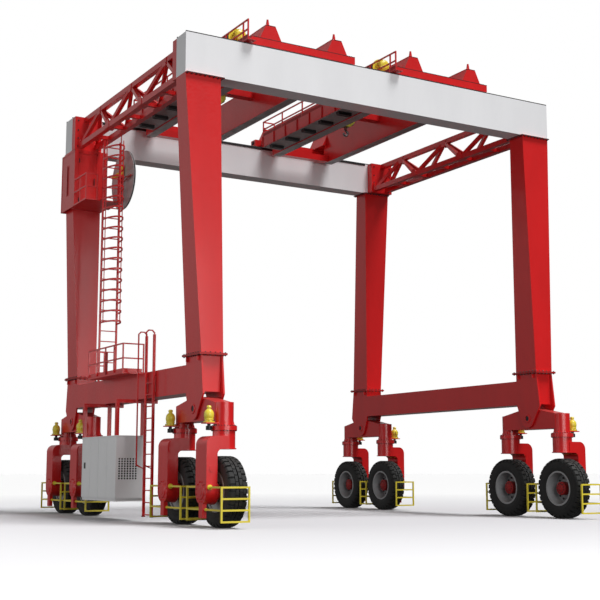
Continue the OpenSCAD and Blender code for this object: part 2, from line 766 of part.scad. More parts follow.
// The ladder from the ground to the sill, with a grab loop on each side
module ground_ladder() color(red) placed() {
  x = -leg_out_x - 50;
  top = deck_z;
  for (s = [-1, 1]) {
    y = -ground_ladder_y + s * (ladder_w / 2);
    bar([x, y, ground_ladder_z], [x, y, top + loop_h - 100], stile_t);
    across_y(y - loop_t, y + loop_t) difference() {
      polygon(loop_outline(x, top, loop_t));
      polygon(loop_outline(x, top, -loop_t));
    }
    for (z = [sill_z + 120, sill_top - 120]) block([x, y - 20, z - 20], [-leg_out_x, y + 20, z + 20]);
  }
  for (z = [ground_ladder_z + 60 : rung_pitch : top - 60])
    bar([x, -ground_ladder_y - ladder_w / 2, z], [x, -ground_ladder_y + ladder_w / 2, z], rung_t);
}

// A point of the cage's outline, at an angle round the ladder and a distance from the middle line
function cage_point(a, d) = [
  -wheel_x + (ladder_w / 2 + 20 + d) * cos(a),
  caged_ladder_y - (cage_depth + d) * sin(a)
];

// The ladder from the sill up to the end truss, inside a cage of hoops
module caged_ladder() color(red) placed() {
  x = -wheel_x;
  top = girder_z - caged_ladder_drop;
  y = caged_ladder_y;
  for (s = [-1, 1]) {
    bar([x + s * ladder_w / 2, y, sill_top], [x + s * ladder_w / 2, y, top], 50);
    bar(
      [x + s * ladder_w / 2, y, house_z + deck_t / 2],
      [x + s * ladder_w / 2, reel_deck_y, house_z + deck_t / 2],
      deck_t
    );
  }
  for (z = [sill_top + 250 : rung_pitch : top - 60])
    bar([x - ladder_w / 2, y, z], [x + ladder_w / 2, y, z], rung_t);
  start = sill_top + cage_start;
  for (z = [start : hoop_pitch : top - hoop_w])
    translate([0, 0, z]) linear_extrude(hoop_w)
      polygon(concat(
        [for (a = [0 : 15 : 180]) cage_point(a, hoop_t / 2)],
        [for (a = [180 : -15 : 0]) cage_point(a, -hoop_t / 2)]
      ));
  for (a = [20, 90, 160]) {
    p = cage_point(a, 0);
    block([p.x - strap_t / 2, p.y - strap_t / 2, start], [p.x + strap_t / 2, p.y + strap_t / 2, top]);
  }
}

// The closed cabinet that hangs below the left sill
module power_cabinet() color(light_grey) placed()
  block(
    [-cabinet_x, -cabinet_front, cabinet_z],
    [-cabinet_x + cabinet_w, -cabinet_front + cabinet_l, cabinet_z + cabinet_h]
  );

// The housing round the top of the back left leg, its platform and the reel's stand
module reel_house() color(red) placed() {
  out_x = -half_l - house_wall;
  in_x = -leg_in_x + house_in;
  y0 = leg_in_y - house_front;
  y1 = girder_out_y + house_back;
  difference() {
    block([out_x, y0, house_z], [in_x, y1, house_top]);
    block([-half_l - 5, leg_in_y, house_z - 1], [-leg_in_x, leg_back_y(house_z), house_top + 1]);
    block([out_x - 1, leg_in_y + 135, house_z + 450], [-half_l, leg_in_y + 235, house_z + 1350]);
  }
  deck_y = reel_deck_y;
  block([out_x - 20, deck_y, house_z], [in_x + 60, y0 + eps, house_z + deck_t]);
  foot_z = house_z + deck_t - eps;
  rail_x = out_x;
  railing([rail_x, deck_y + 20, foot_z], [rail_x, y0 - 20, foot_z], railing_h, 3);
  railing([rail_x, deck_y + 20, foot_z], [rail_x + 340, deck_y + 20, foot_z], railing_h, 2);
  stand_y = leg_in_y - reel_reach;
  block([in_x - 20, stand_y - 60, house_z - 10], [in_x + 60, stand_y + 60, house_z + reel_lift + 90]);
  translate([in_x, stand_y, house_z + reel_lift])
    rotate([0, 90, 0]) cylinder(h = reel_off + reel_t + 40, r = reel_shaft_r);
}

// The cable reel on its shaft
module cable_reel() color(light_grey) placed()
  translate([-leg_in_x + house_in + reel_off, leg_in_y - reel_reach, house_z + reel_lift])
    rotate([0, 90, 0]) rotate_extrude($fn = 96) {
      inner = reel_shaft_r + 0.5;
      translate([inner, 0]) square([120 - inner + 60, reel_t]);
      translate([inner + 20, 0]) square([reel_r - inner - 20, 15]);
      translate([inner + 20, reel_t - 15]) square([reel_r - inner - 20, 15]);
      translate([170, 0]) square([reel_r - 200, reel_t]);
    }

girder(-1);  // front_girder
girder(1);  // back_girder
legs(-1);  // left_legs
legs(1);  // right_legs
sill(-1);  // left_sill
sill(1);  // right_sill
end_truss(SIDES[0]);  // left_end_truss
end_truss(SIDES[1]);  // right_end_truss
access_platform();
ground_ladder();
caged_ladder();
power_cabinet();
reel_house();
cable_reel();
for (c = CORNERS) bogie_beam(c);
for (c = CORNERS) steering_motors(c);
for (c = CORNERS, w = WHEELS) {
  fork(c, w);
  guards(c, w);
  tyre(c, w);
  rim(c, w);
}
for (s = SIDES) {
  trolley_frame(s);
  trolley_walkway(s);
  hoist(s);
}
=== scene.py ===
"""Looks of a rubber tyred portal crane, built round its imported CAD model."""

import logging
import math
from dataclasses import dataclass
from enum import Enum
from typing import Iterable, Sequence

import bmesh
import bpy
from mathutils import Matrix, Vector


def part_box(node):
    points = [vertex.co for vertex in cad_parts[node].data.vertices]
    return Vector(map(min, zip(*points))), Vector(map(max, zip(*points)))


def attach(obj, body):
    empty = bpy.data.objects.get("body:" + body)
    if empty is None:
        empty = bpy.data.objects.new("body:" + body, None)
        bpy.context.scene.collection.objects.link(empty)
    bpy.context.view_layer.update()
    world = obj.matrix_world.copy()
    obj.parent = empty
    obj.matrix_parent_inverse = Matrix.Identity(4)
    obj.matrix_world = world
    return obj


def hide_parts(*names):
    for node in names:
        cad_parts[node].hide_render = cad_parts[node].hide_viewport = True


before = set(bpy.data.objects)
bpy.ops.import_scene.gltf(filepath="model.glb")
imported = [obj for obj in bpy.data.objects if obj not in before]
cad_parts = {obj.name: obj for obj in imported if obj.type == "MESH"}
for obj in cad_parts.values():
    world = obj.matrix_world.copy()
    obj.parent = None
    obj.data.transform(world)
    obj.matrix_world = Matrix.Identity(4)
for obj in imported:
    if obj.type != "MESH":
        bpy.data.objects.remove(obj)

LOG = logging.getLogger("crane")
Point = Sequence[float]
# An edge that turns more than this stays sharp; the flats of a round rod turn less.
SHARP_ANGLE = math.radians(21)
# Parts of a bolt's size: its washer's thickness and radius, and the top of its head.
WASHER_T, WASHER_R, HEAD_TOP = 0.12, 0.72, 0.62
# Where the pivot pins of the bogies cross the sills.
PIN_Y, PIN_Z = 4.233, 2.71


def linear(hex_colour: str) -> tuple[float, float, float, float]:
    """Turns an sRGB hex colour into linear light.

    Args:
        hex_colour: Six hex digits, such as "d62828".

    Returns:
        Red, green, blue and alpha, linear.
    """
    values = [int(hex_colour[i : i + 2], 16) / 255 for i in (0, 2, 4)]
    lin = [v / 12.92 if v <= 0.04045 else ((v + 0.055) / 1.055) ** 2.4 for v in values]
    return (*lin, 1.0)


def add_node(
    tree: bpy.types.NodeTree,
    kind: str,
    settings: dict | None = None,
    links: Iterable[tuple] = (),
) -> bpy.types.Node:
    """Adds one node to a material.

    Args:
        tree: The material's node tree.
        kind: The node's Blender type name.
        settings: Attribute names, or input names and numbers, with their values.
        links: Pairs of an output socket and the name or number of the input it feeds.

    Returns:
        The new node.
    """
    made = tree.nodes.new(kind)
    for key, value in (settings or {}).items():
        if isinstance(key, int) or key in made.inputs:
            made.inputs[key].default_value = value
        else:
            setattr(made, key, value)
    for socket, target in links:
        tree.links.new(socket, made.inputs[target])
    return made


def aim(way: Point) -> Matrix:
    """Matrix that turns +Z to a direction."""
    return Vector(way).to_track_quat("Z", "Y").to_matrix().to_4x4()


class Slot(Enum):
    """Material slots of the record."""

    RED = "red_paint"
    WHITE = "white_paint"
    YELLOW = "yellow_paint"
    CABINET = "cabinet_paint"
    RIM = "rim_paint"
    REEL = "reel_paint"
    TYRE = "tyre_rubber"


@dataclass(frozen=True)
class Finish:
    """A surface: colour broken up in patches, gloss broken up in a finer grain, dust on top faces,
    and a fine relief.

    The defaults are those of sprayed enamel on welded plate, which is glossy and a little wavy.
    """

    name: str
    colour: str
    slot: Slot
    shade: str = "000000"
    shade_part: float = 0.12
    dust: str = "b9b3aa"
    dust_part: float = 0.12
    rough: float = 0.34
    rough_spread: float = 0.1
    metallic: float = 0.0
    coat: float = 0.0
    sheen: float = 0.0
    patch_mm: float = 900.0
    grain_mm: float = 45.0
    relief_mm: float = 0.35
    streaks: float = 1.0

    def material(self) -> bpy.types.Material:
        """Builds the material once and gives it again when it is asked for twice."""
        found = bpy.data.materials.get(self.name)
        if found:
            return found
        mat = bpy.data.materials.new(self.name)
        mat.use_nodes = True
        mat.diffuse_color = linear(self.colour)
        tree = mat.node_tree
        tree.nodes.clear()
        place = add_node(tree, "ShaderNodeTexCoord").outputs["Object"]
        # Streaks run down a face, so the pattern is stretched along Z.
        long_way = add_node(
            tree,
            "ShaderNodeMapping",
            {"Scale": (1.0, 1.0, 1.0 / self.streaks)},
            [(place, "Vector")],
        )
        patch = add_node(
            tree,
            "ShaderNodeTexNoise",
            {"Scale": 1000 / self.patch_mm, "Detail": 5.0, "Roughness": 0.6},
            [(long_way.outputs[0], "Vector")],
        )
        grain = add_node(
            tree,
            "ShaderNodeTexNoise",
            {"Scale": 1000 / self.grain_mm, "Detail": 3.0, "Roughness": 0.55},
            [(place, "Vector")],
        )
        part = add_node(
            tree,
            "ShaderNodeMapRange",
            {"From Min": 0.35, "From Max": 0.75, "To Min": 0.0, "To Max": self.shade_part},
            [(patch.outputs[0], "Value")],
        )
        shaded = add_node(
            tree,
            "ShaderNodeMix",
            {"data_type": "RGBA", 6: linear(self.colour), 7: linear(self.shade)},
            [(part.outputs[0], 0)],
        )
        facing = add_node(
            tree,
            "ShaderNodeSeparateXYZ",
            links=[(add_node(tree, "ShaderNodeNewGeometry").outputs["Normal"], 0)],
        )
        settled = add_node(
            tree,
            "ShaderNodeMapRange",
            {"From Min": 0.5, "From Max": 1.0, "To Min": 0.0, "To Max": self.dust_part * 2},
            [(facing.outputs["Z"], "Value")],
        )
        spread = add_node(
            tree,
            "ShaderNodeMath",
            {"operation": "MULTIPLY"},
            [(settled.outputs[0], 0), (patch.outputs[0], 1)],
        )
        dusty = add_node(
            tree,
            "ShaderNodeMix",
            {"data_type": "RGBA", 7: linear(self.dust)},
            [(spread.outputs[0], 0), (shaded.outputs[2], 6)],
        )
        gloss = add_node(
            tree,
            "ShaderNodeMapRange",
            {
                "From Min": 0.3,
                "From Max": 0.7,
                "To Min": max(0.03, self.rough - self.rough_spread / 2),
                "To Max": min(1.0, self.rough + self.rough_spread),
            },
            [(grain.outputs[0], "Value")],
        )
        relief = add_node(
            tree,
            "ShaderNodeBump",
            {"Strength": 0.35, "Distance": self.relief_mm / 1000},
            [(grain.outputs[0], "Height")],
        )
        shader = add_node(
            tree,
            "ShaderNodeBsdfPrincipled",
            {
                "Metallic": self.metallic,
                "Coat Weight": self.coat,
                "Coat Roughness": 0.12,
                "Sheen Weight": self.sheen,
            },
            [
                (dusty.outputs[2], "Base Color"),
                (gloss.outputs[0], "Roughness"),
                (relief.outputs[0], "Normal"),
            ],
        )
        add_node(tree, "ShaderNodeOutputMaterial", links=[(shader.outputs[0], 0)])
        return mat


# Two-pack gloss enamel, sprayed: a hard bright red that mirrors the sky at a low angle.
RED = Finish("gloss_red_enamel", "dd1a1c", Slot.RED, "5a0606", 0.16, coat=0.4, streaks=4.0)
# The same enamel, duller, on castings and inside recesses, its colour darkened as painted shade.
SHADED_RED = Finish("red_enamel_painted_shade", "b01818", Slot.RED, "3c0505", 0.3, rough=0.5)
# Gloss white enamel: shows rain streaks and road film more than the red does.
WHITE = Finish(
    "gloss_white_enamel",
    "f5f5f7",
    Slot.WHITE,
    "bcbcc0",
    0.13,
    "c9c4bc",
    0.18,
    coat=0.2,
    streaks=4.0,
)
# Safety yellow enamel on tubes and drives: opaque, a little greenish.
YELLOW = Finish("safety_yellow_enamel", "f0dc46", Slot.YELLOW, "9a8420", 0.16, coat=0.15)
# The yellow enamel of the hook block, greened and worn by grease.
OLIVE = Finish("worn_olive_enamel", "b4ae30", Slot.YELLOW, "3d3a10", 0.75, rough=0.4, patch_mm=170)
# Grey primer on the plates that close the girders from below: flat, marked by rain.
PRIMER = Finish("grey_plate_primer", "b4b4b4", Slot.WHITE, "5c5c5c", 0.5, rough=0.5, patch_mm=500)
# Powder coat on thin sheet: satin, with a fine pebbled relief.
POWDER = Finish(
    "light_grey_powder_coat", "efeff0", Slot.CABINET, "b5b5b8", 0.12, rough=0.45, grain_mm=14
)
# Satin grey enamel on pressed steel wheels, dulled by brake dust.
RIM_GREY = Finish(
    "satin_grey_enamel", "adafb1", Slot.RIM, "5f5b56", 0.22, "8d8579", 0.2, 0.42, patch_mm=260
)
# Zinc-grey enamel on spun sheet: flat and even.
REEL_GREY = Finish(
    "pale_grey_sheet_enamel", "c6cdcd", Slot.REEL, "8a8c8c", 0.2, rough=0.38, patch_mm=400
)
# Moulded black rubber: matt, greyed by dust, with a coarse grain from the mould.
RUBBER = Finish(
    "moulded_tyre_rubber",
    "161718",
    Slot.TYRE,
    "3a3833",
    0.25,
    "4d4941",
    0.12,
    rough=0.7,
    patch_mm=140,
    grain_mm=9,
    relief_mm=1.2,
    sheen=0.08,
)
# Oiled dark steel on bolts, pins and gears: a dim metal with a broken shine.
DARK_STEEL = Finish(
    "oiled_dark_steel", "4a4b4d", Slot.RIM, "1d1c1b", 0.5, rough=0.4, metallic=0.85, patch_mm=60
)
# Rolled steel of rails and rope: bright where it is run on.
BRIGHT_STEEL = Finish(
    "rolled_rail_steel", "8d8f92", Slot.RIM, "54483f", 0.5, rough=0.36, metallic=0.9, patch_mm=120
)
# Black plastic and rubber of buffers, seals and cable: soft sheen, nearly black.
BLACK = Finish(
    "black_moulded_plastic", "1c1d1e", Slot.TYRE, "3a3a3a", 0.3, rough=0.5, patch_mm=90, grain_mm=6
)


class Piece:
    """One visible piece, gathered from bmesh shapes in the crane's own frame."""

    def __init__(self, name: str) -> None:
        """Starts an empty piece.

        Args:
            name: The object's name.
        """
        self.name = name
        self.mesh = bmesh.new()
        self.at = Matrix.Identity(4)

    def _place(self, verts: list[bmesh.types.BMVert], turn: Matrix | None = None) -> None:
        """Moves new corners from the shape's own frame to the piece's."""
        matrix = self.at @ turn if turn is not None else self.at
        bmesh.ops.transform(self.mesh, matrix=matrix, verts=verts)
        if matrix.determinant() < 0:
            faces = {f for v in verts for f in v.link_faces}
            bmesh.ops.reverse_faces(self.mesh, faces=list(faces))

    def _bevel(
        self, verts: list[bmesh.types.BMVert], width: float
    ) -> list[bmesh.types.BMVert]:
        """Rounds every edge of a new shape.

        Args:
            verts: The shape's corners.
            width: Width of the rounding.

        Returns:
            The rounded shape's corners.
        """
        done = bmesh.ops.bevel(
            self.mesh,
            geom=list({e for v in verts for e in v.link_edges}),
            offset=width,
            offset_type="OFFSET",
            segments=2,
            profile=0.5,
            affect="EDGES",
            material=-1,
        )
        left = {v for v in verts if v.is_valid}
        return list({v for f in done["faces"] for v in f.verts} | left)

    def block(
        self, low: Point, high: Point, bevel: float = 0.0, turn: Matrix | None = None
    ) -> None:
        """Adds a box between two corners.

        Args:
            low: One corner.
            high: The opposite corner.
            bevel: Width of the rounded edges, or 0 for sharp ones.
            turn: A matrix applied to the box before the piece's own.
        """
        a, b = Vector(low), Vector(high)
        size = Vector(abs(c) for c in b - a)
        matrix = Matrix.Translation((a + b) / 2) @ Matrix.Diagonal((*size, 1))
        verts = bmesh.ops.create_cube(self.mesh, size=1.0, matrix=matrix)["verts"]
        if bevel:
            verts = self._bevel(verts, min(bevel, 0.3 * min(size)))
        self._place(verts, turn)

    def rod(
        self, start: Point, end: Point, radius: float, sides: int = 18, far: float | None = None
    ) -> None:
        """Adds a round rod, or a cone if its far end has a radius of its own.

        Args:
            start: Middle of one end.
            end: Middle of the other end.
            radius: Radius at the start.
            sides: Number of flats round it; 6 makes a bolt's hexagon.
            far: Radius at the end.
        """
        a, b = Vector(start), Vector(end)
        way = b - a
        turn = Matrix.Translation((a + b) / 2) @ aim(way)
        made = bmesh.ops.create_cone(
            self.mesh,
            cap_ends=True,
            segments=sides,
            radius1=radius,
            radius2=radius if far is None else far,
            depth=way.length,
        )
        self._place(made["verts"], turn)

    def lathe(
        self,
        profile: Sequence[tuple[float, float]],
        centre: Point,
        axis: Point,
        steps: int = 40,
        arc: tuple[float, float] = (0.0, 360.0),
        closed: bool = False,
    ) -> None:
        """Spins a profile round an axis.

        Args:
            profile: Points as (radius, height along the axis).
            centre: Where height 0 of the axis lies.
            axis: Direction of the axis.
            steps: Number of steps round the arc.
            arc: Start angle and swept angle, in degrees.
            closed: Whether the profile is a closed outline; a part turn then gets its two ends.
        """
        start, sweep = math.radians(arc[0]), math.radians(arc[1])
        verts = [self.mesh.verts.new((r, 0.0, h)) for r, h in profile]
        bmesh.ops.rotate(
            self.mesh, verts=verts, cent=(0, 0, 0), matrix=Matrix.Rotation(start, 3, "Z")
        )
        full = abs(arc[1]) >= 360
        if closed and not full:
            geom = [self.mesh.faces.new(verts)]
        else:
            ends = zip(verts, verts[1:] + verts[:1] if closed else verts[1:])
            geom = [self.mesh.edges.new(pair) for pair in ends]
        before = set(self.mesh.verts) - set(verts)
        bmesh.ops.spin(
            self.mesh,
            geom=[*verts, *geom],
            cent=(0, 0, 0),
            axis=(0, 0, 1),
            angle=sweep,
            steps=steps,
            use_merge=full,
        )
        new = [v for v in self.mesh.verts if v not in before]
        bmesh.ops.remove_doubles(self.mesh, verts=new, dist=1e-5)
        new = [v for v in self.mesh.verts if v not in before]
        faces = list({f for v in new for f in v.link_faces})
        bmesh.ops.recalc_face_normals(self.mesh, faces=faces)
        self._place(new, Matrix.Translation(Vector(centre)) @ aim(axis))

    def plate(self, outline: Sequence[Point], depth: Point, bevel: float = 0.0) -> None:
        """Adds a flat plate of any outline.

        Args:
            outline: Corners of one face, in order.
            depth: Vector from that face to the other.
            bevel: Width of the rounded edges, or 0 for sharp ones.
        """
        verts = [self.mesh.verts.new(p) for p in outline]
        face = self.mesh.faces.new(verts)
        made = bmesh.ops.extrude_face_region(self.mesh, geom=[face])["geom"]
        top = [g for g in made if isinstance(g, bmesh.types.BMVert)]
        bmesh.ops.translate(self.mesh, verts=top, vec=Vector(depth))
        verts += top
        faces = list({f for v in verts for f in v.link_faces})
        bmesh.ops.recalc_face_normals(self.mesh, faces=faces)
        if bevel:
            verts = self._bevel(verts, bevel)
        self._place(verts)

    def bolt(self, foot: Point, way: Point, size: float = 0.036) -> None:
        """Adds a hexagon head with its washer.

        Args:
            foot: Middle of the head's underside.
            way: Direction the head faces.
            size: Width across the head's corners.
        """
        base, out = Vector(foot), Vector(way).normalized() * size
        self.rod(base, base + out * WASHER_T, size * WASHER_R, 10)
        self.rod(base + out * WASHER_T, base + out * HEAD_TOP, size / 2, 6)

    def bolt_circle(
        self, centre: Point, axis: Point, radius: float, count: int, size: float = 0.036
    ) -> None:
        """Adds bolts evenly round a circle.

        Args:
            centre: The circle's middle.
            axis: Direction the heads face.
            radius: The circle's radius.
            count: Number of bolts.
            size: Width of a head.
        """
        turn = aim(axis)
        for i in range(count):
            angle = 2 * math.pi * (i + 0.5) / count
            spot = turn @ Vector((radius * math.cos(angle), radius * math.sin(angle), 0))
            self.bolt(Vector(centre) + spot, axis, size)

    def done(
        self,
        finish: Finish,
        body: str,
        replaces: Iterable[str] = (),
        copy_to: Matrix | None = None,
    ) -> bpy.types.Object:
        """Closes the piece and puts it on its body.

        Args:
            finish: The piece's surface.
            body: The CAD body it rides on.
            replaces: CAD nodes it stands for.
            copy_to: If given, the piece stays open and a moved copy is closed.

        Returns:
            The finished object.
        """
        data = bpy.data.meshes.new(self.name)
        self.mesh.to_mesh(data)
        if copy_to is not None:
            data.transform(copy_to)
        else:
            self.mesh.free()
        data.shade_smooth()
        data.set_sharp_from_angle(angle=SHARP_ANGLE)
        data.materials.append(finish.material())
        obj = bpy.data.objects.new(self.name, data)
        bpy.context.scene.collection.objects.link(obj)
        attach(obj, body)
        if replaces:
            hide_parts(*replaces)
        LOG.info("%s: %d faces on %s", obj.name, len(data.polygons), body)
        return obj


@dataclass(frozen=True)
class Corner:
    """One of the four bogies."""

    name: str
    out: int
    way: int


CORNERS = (
    Corner("front_left", -1, -1),
    Corner("front_right", 1, -1),
    Corner("back_left", -1, 1),
    Corner("back_right", 1, 1),
)
WHEELS = (1, 2)


def middle(node: str) -> Vector:
    """Middle of a CAD node's box."""
    low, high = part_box(node)
    return (low + high) / 2


def paint_nodes(nodes: dict[str, bpy.types.Object], finishes: dict[str, Finish]) -> None:
    """Gives every CAD node its finish.

    Args:
        nodes: The CAD nodes by name.
        finishes: Start of a node's name, and the finish of every node that starts so.
    """
    for name, obj in sorted(nodes.items()):
        chosen = next(f for start, f in finishes.items() if name.startswith(start))
        obj.data.materials.clear()
        obj.data.materials.append(chosen.material())
        LOG.info("%s: %s", name, chosen.name)


@dataclass
class Tyre:
    """A wide tyre with a block tread, and the wheel nuts inside it."""

    pitches: int = 32
    steps: int = 104
    block_steps: int = 3
    stagger: float = 0.25
    shoulder_part: float = 0.7
    crown_shift: float = 0.3
    crown_part: float = 0.86
    rim_nuts: tuple = (0.285, 12, 0.042)
    disc_nuts: tuple = (0.215, 12, 0.034)
    carcass: tuple = (
        (0.452, -0.186), (0.466, -0.19), (0.478, -0.212), (0.515, -0.227), (0.56, -0.232),
        (0.575, -0.235), (0.59, -0.232), (0.64, -0.235), (0.69, -0.231), (0.725, -0.216),
        (0.752, -0.178), (0.757, -0.1), (0.757, 0.1), (0.752, 0.178), (0.725, 0.216),
        (0.69, 0.231), (0.64, 0.235), (0.59, 0.232), (0.575, 0.235), (0.56, 0.232),
        (0.515, 0.227), (0.478, 0.212), (0.466, 0.19), (0.452, 0.186),
    )
    shoulder: tuple = (
        (0.745, 0.094), (0.797, 0.096), (0.799, 0.165), (0.786, 0.204), (0.755, 0.2265),
        (0.73, 0.2335), (0.715, 0.234), (0.715, 0.2), (0.745, 0.16),
    )
    crown: tuple = ((0.745, 0.012), (0.799, 0.014), (0.799, 0.084), (0.745, 0.086))

    def build(self) -> None:
        """Makes the eight tyres and their nuts."""
        tyre = Piece("tread_tyre")
        middle_line = ((0, 0, 0), (1, 0, 0))
        tyre.lathe(self.carcass, *middle_line, self.steps, closed=True)
        step = 360 / self.pitches
        for i in range(self.pitches):
            for side in (-1, 1):
                edge = [(r, side * x) for r, x in self.shoulder]
                mid = [(r, side * x) for r, x in self.crown]
                start = step * (i + self.stagger * side)
                for profile, shift, part in (
                    (edge, 0.0, self.shoulder_part),
                    (mid, self.crown_shift, self.crown_part),
                ):
                    arc = (start + step * shift, step * part)
                    tyre.lathe(profile, *middle_line, self.block_steps, arc, closed=True)
        nuts = Piece("wheel_nuts")
        nuts.bolt_circle((0.058, 0, 0), (-1, 0, 0), *self.rim_nuts)
        nuts.bolt_circle((0.15, 0, 0), (1, 0, 0), *self.disc_nuts)
        for corner in CORNERS:
            for wheel in WHEELS:
                tag = f"{corner.name}_{wheel}"
                place = Matrix.Translation(middle(f"tyre_{tag}"))
                if corner.out < 0:
                    place = place @ Matrix.Rotation(math.pi, 4, "Z")
                tyre.name, nuts.name = f"tread_tyre_{tag}", f"wheel_nuts_{tag}"
                tyre.done(RUBBER, f"wheel_{tag}", [f"tyre_{tag}"], copy_to=place)
                nuts.done(DARK_STEEL, f"wheel_{tag}", copy_to=place)


@dataclass
class Fork:
    """What is bolted and welded to a wheel fork."""

    ring_under: float = 2.1745
    ring_bolts: tuple = (0.281, 20, 0.024)
    hub_bolts: tuple = (0.125, 10, 0.024)
    disc_bolts: tuple = (0.225, 12, 0.03)
    out: float = 0.565
    width: float = 0.56
    foot_z: float = 1.75
    axle_z: float = 0.8
    pad_z: float = 1.32
    hub_end: float = -0.09
    foot: float = 0.095
    lug_r: float = 0.058
    stub_r: float = 0.035
    tube: float = 0.02
    cap: tuple = (
        (0.0, 0.05), (0.05, 0.05), (0.06, 0.042), (0.09, 0.034), (0.098, 0.026), (0.16, 0.024),
        (0.17, 0.018), (0.179, 0.01), (0.179, -0.14), (0.1755, -0.14), (0.1755, 0.0005),
        (0.0, 0.0005),
    )
    disc: tuple = ((0, 0.03), (0.09, 0.03), (0.1, 0.022), (0.16, 0.02), (0.17, 0.012), (0.185, 0))

    def build(self, corner: Corner, wheel: int) -> None:
        """Dresses one fork.

        Args:
            corner: The bogie.
            wheel: 1 for the outer wheel, 2 for the inner one.
        """
        tag, s = f"{corner.name}_{wheel}", corner.out
        hub = middle(f"tyre_{tag}")
        x, y = hub.x, hub.y
        hub_face = x + s * (self.hub_end - 0.024)
        bolts = Piece(f"fork_bolts_{tag}")
        bolts.bolt_circle((x, y, self.ring_under), (0, 0, -1), *self.ring_bolts)
        bolts.bolt_circle((hub_face, y, self.axle_z), (-s, 0, 0), *self.hub_bolts)
        bolts.done(DARK_STEEL, f"fork_{tag}")
        # The hub cap takes the darker red: painted shade of the recessed hub.
        cap = Piece(f"hub_cap_{tag}")
        cap.lathe(self.cap, (x + s * self.hub_end, y, self.axle_z), (-s, 0, 0), 48)
        cap.done(SHADED_RED, f"fork_{tag}")
        trim = Piece(f"fork_trim_{tag}")
        trim.bolt_circle((x + s * self.out, y, self.axle_z), (s, 0, 0), *self.disc_bolts)
        trim.lathe(self.disc, (x + s * self.out, y, self.axle_z), (s, 0, 0), 36)
        # Edge plates of the box, standing a little proud of its front and back walls.
        pad_x = x + s * (self.out - 0.135)
        for side in (-1, 1):
            wall = y + side * self.width / 2
            trim.block(
                (x + s * (self.out - 0.27), wall - 0.006, self.axle_z + 0.1),
                (x + s * (self.out - 0.255), wall + 0.006, self.foot_z - 0.02),
            )
            trim.rod(
                (pad_x, wall, self.pad_z), (pad_x, wall + side * 0.012, self.pad_z), 0.075, 20
            )
        trim.done(RED, f"fork_{tag}")
        ends = Piece(f"guard_ends_{tag}")
        low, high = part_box(f"guards_{tag}")
        rail_x = high.x - self.tube if s > 0 else low.x + self.tube
        rail_z = low.z + self.tube + (high.z - low.z - 2 * self.tube) / 3
        for side in (-1, 1):
            for z, reach, size in (
                (rail_z, self.foot, 0.6),
                (high.z - self.tube, self.width / 2, 1.0),
            ):
                wall = y + side * reach
                for near, end, radius, sides in (
                    (0.0, 0.03, self.lug_r, 18),
                    (0.03, 0.08, self.stub_r, 14),
                ):
                    start = (rail_x, wall + side * near, z)
                    ends.rod(start, (rail_x, wall + side * end, z), radius * size, sides)
        ends.done(YELLOW, f"fork_{tag}")


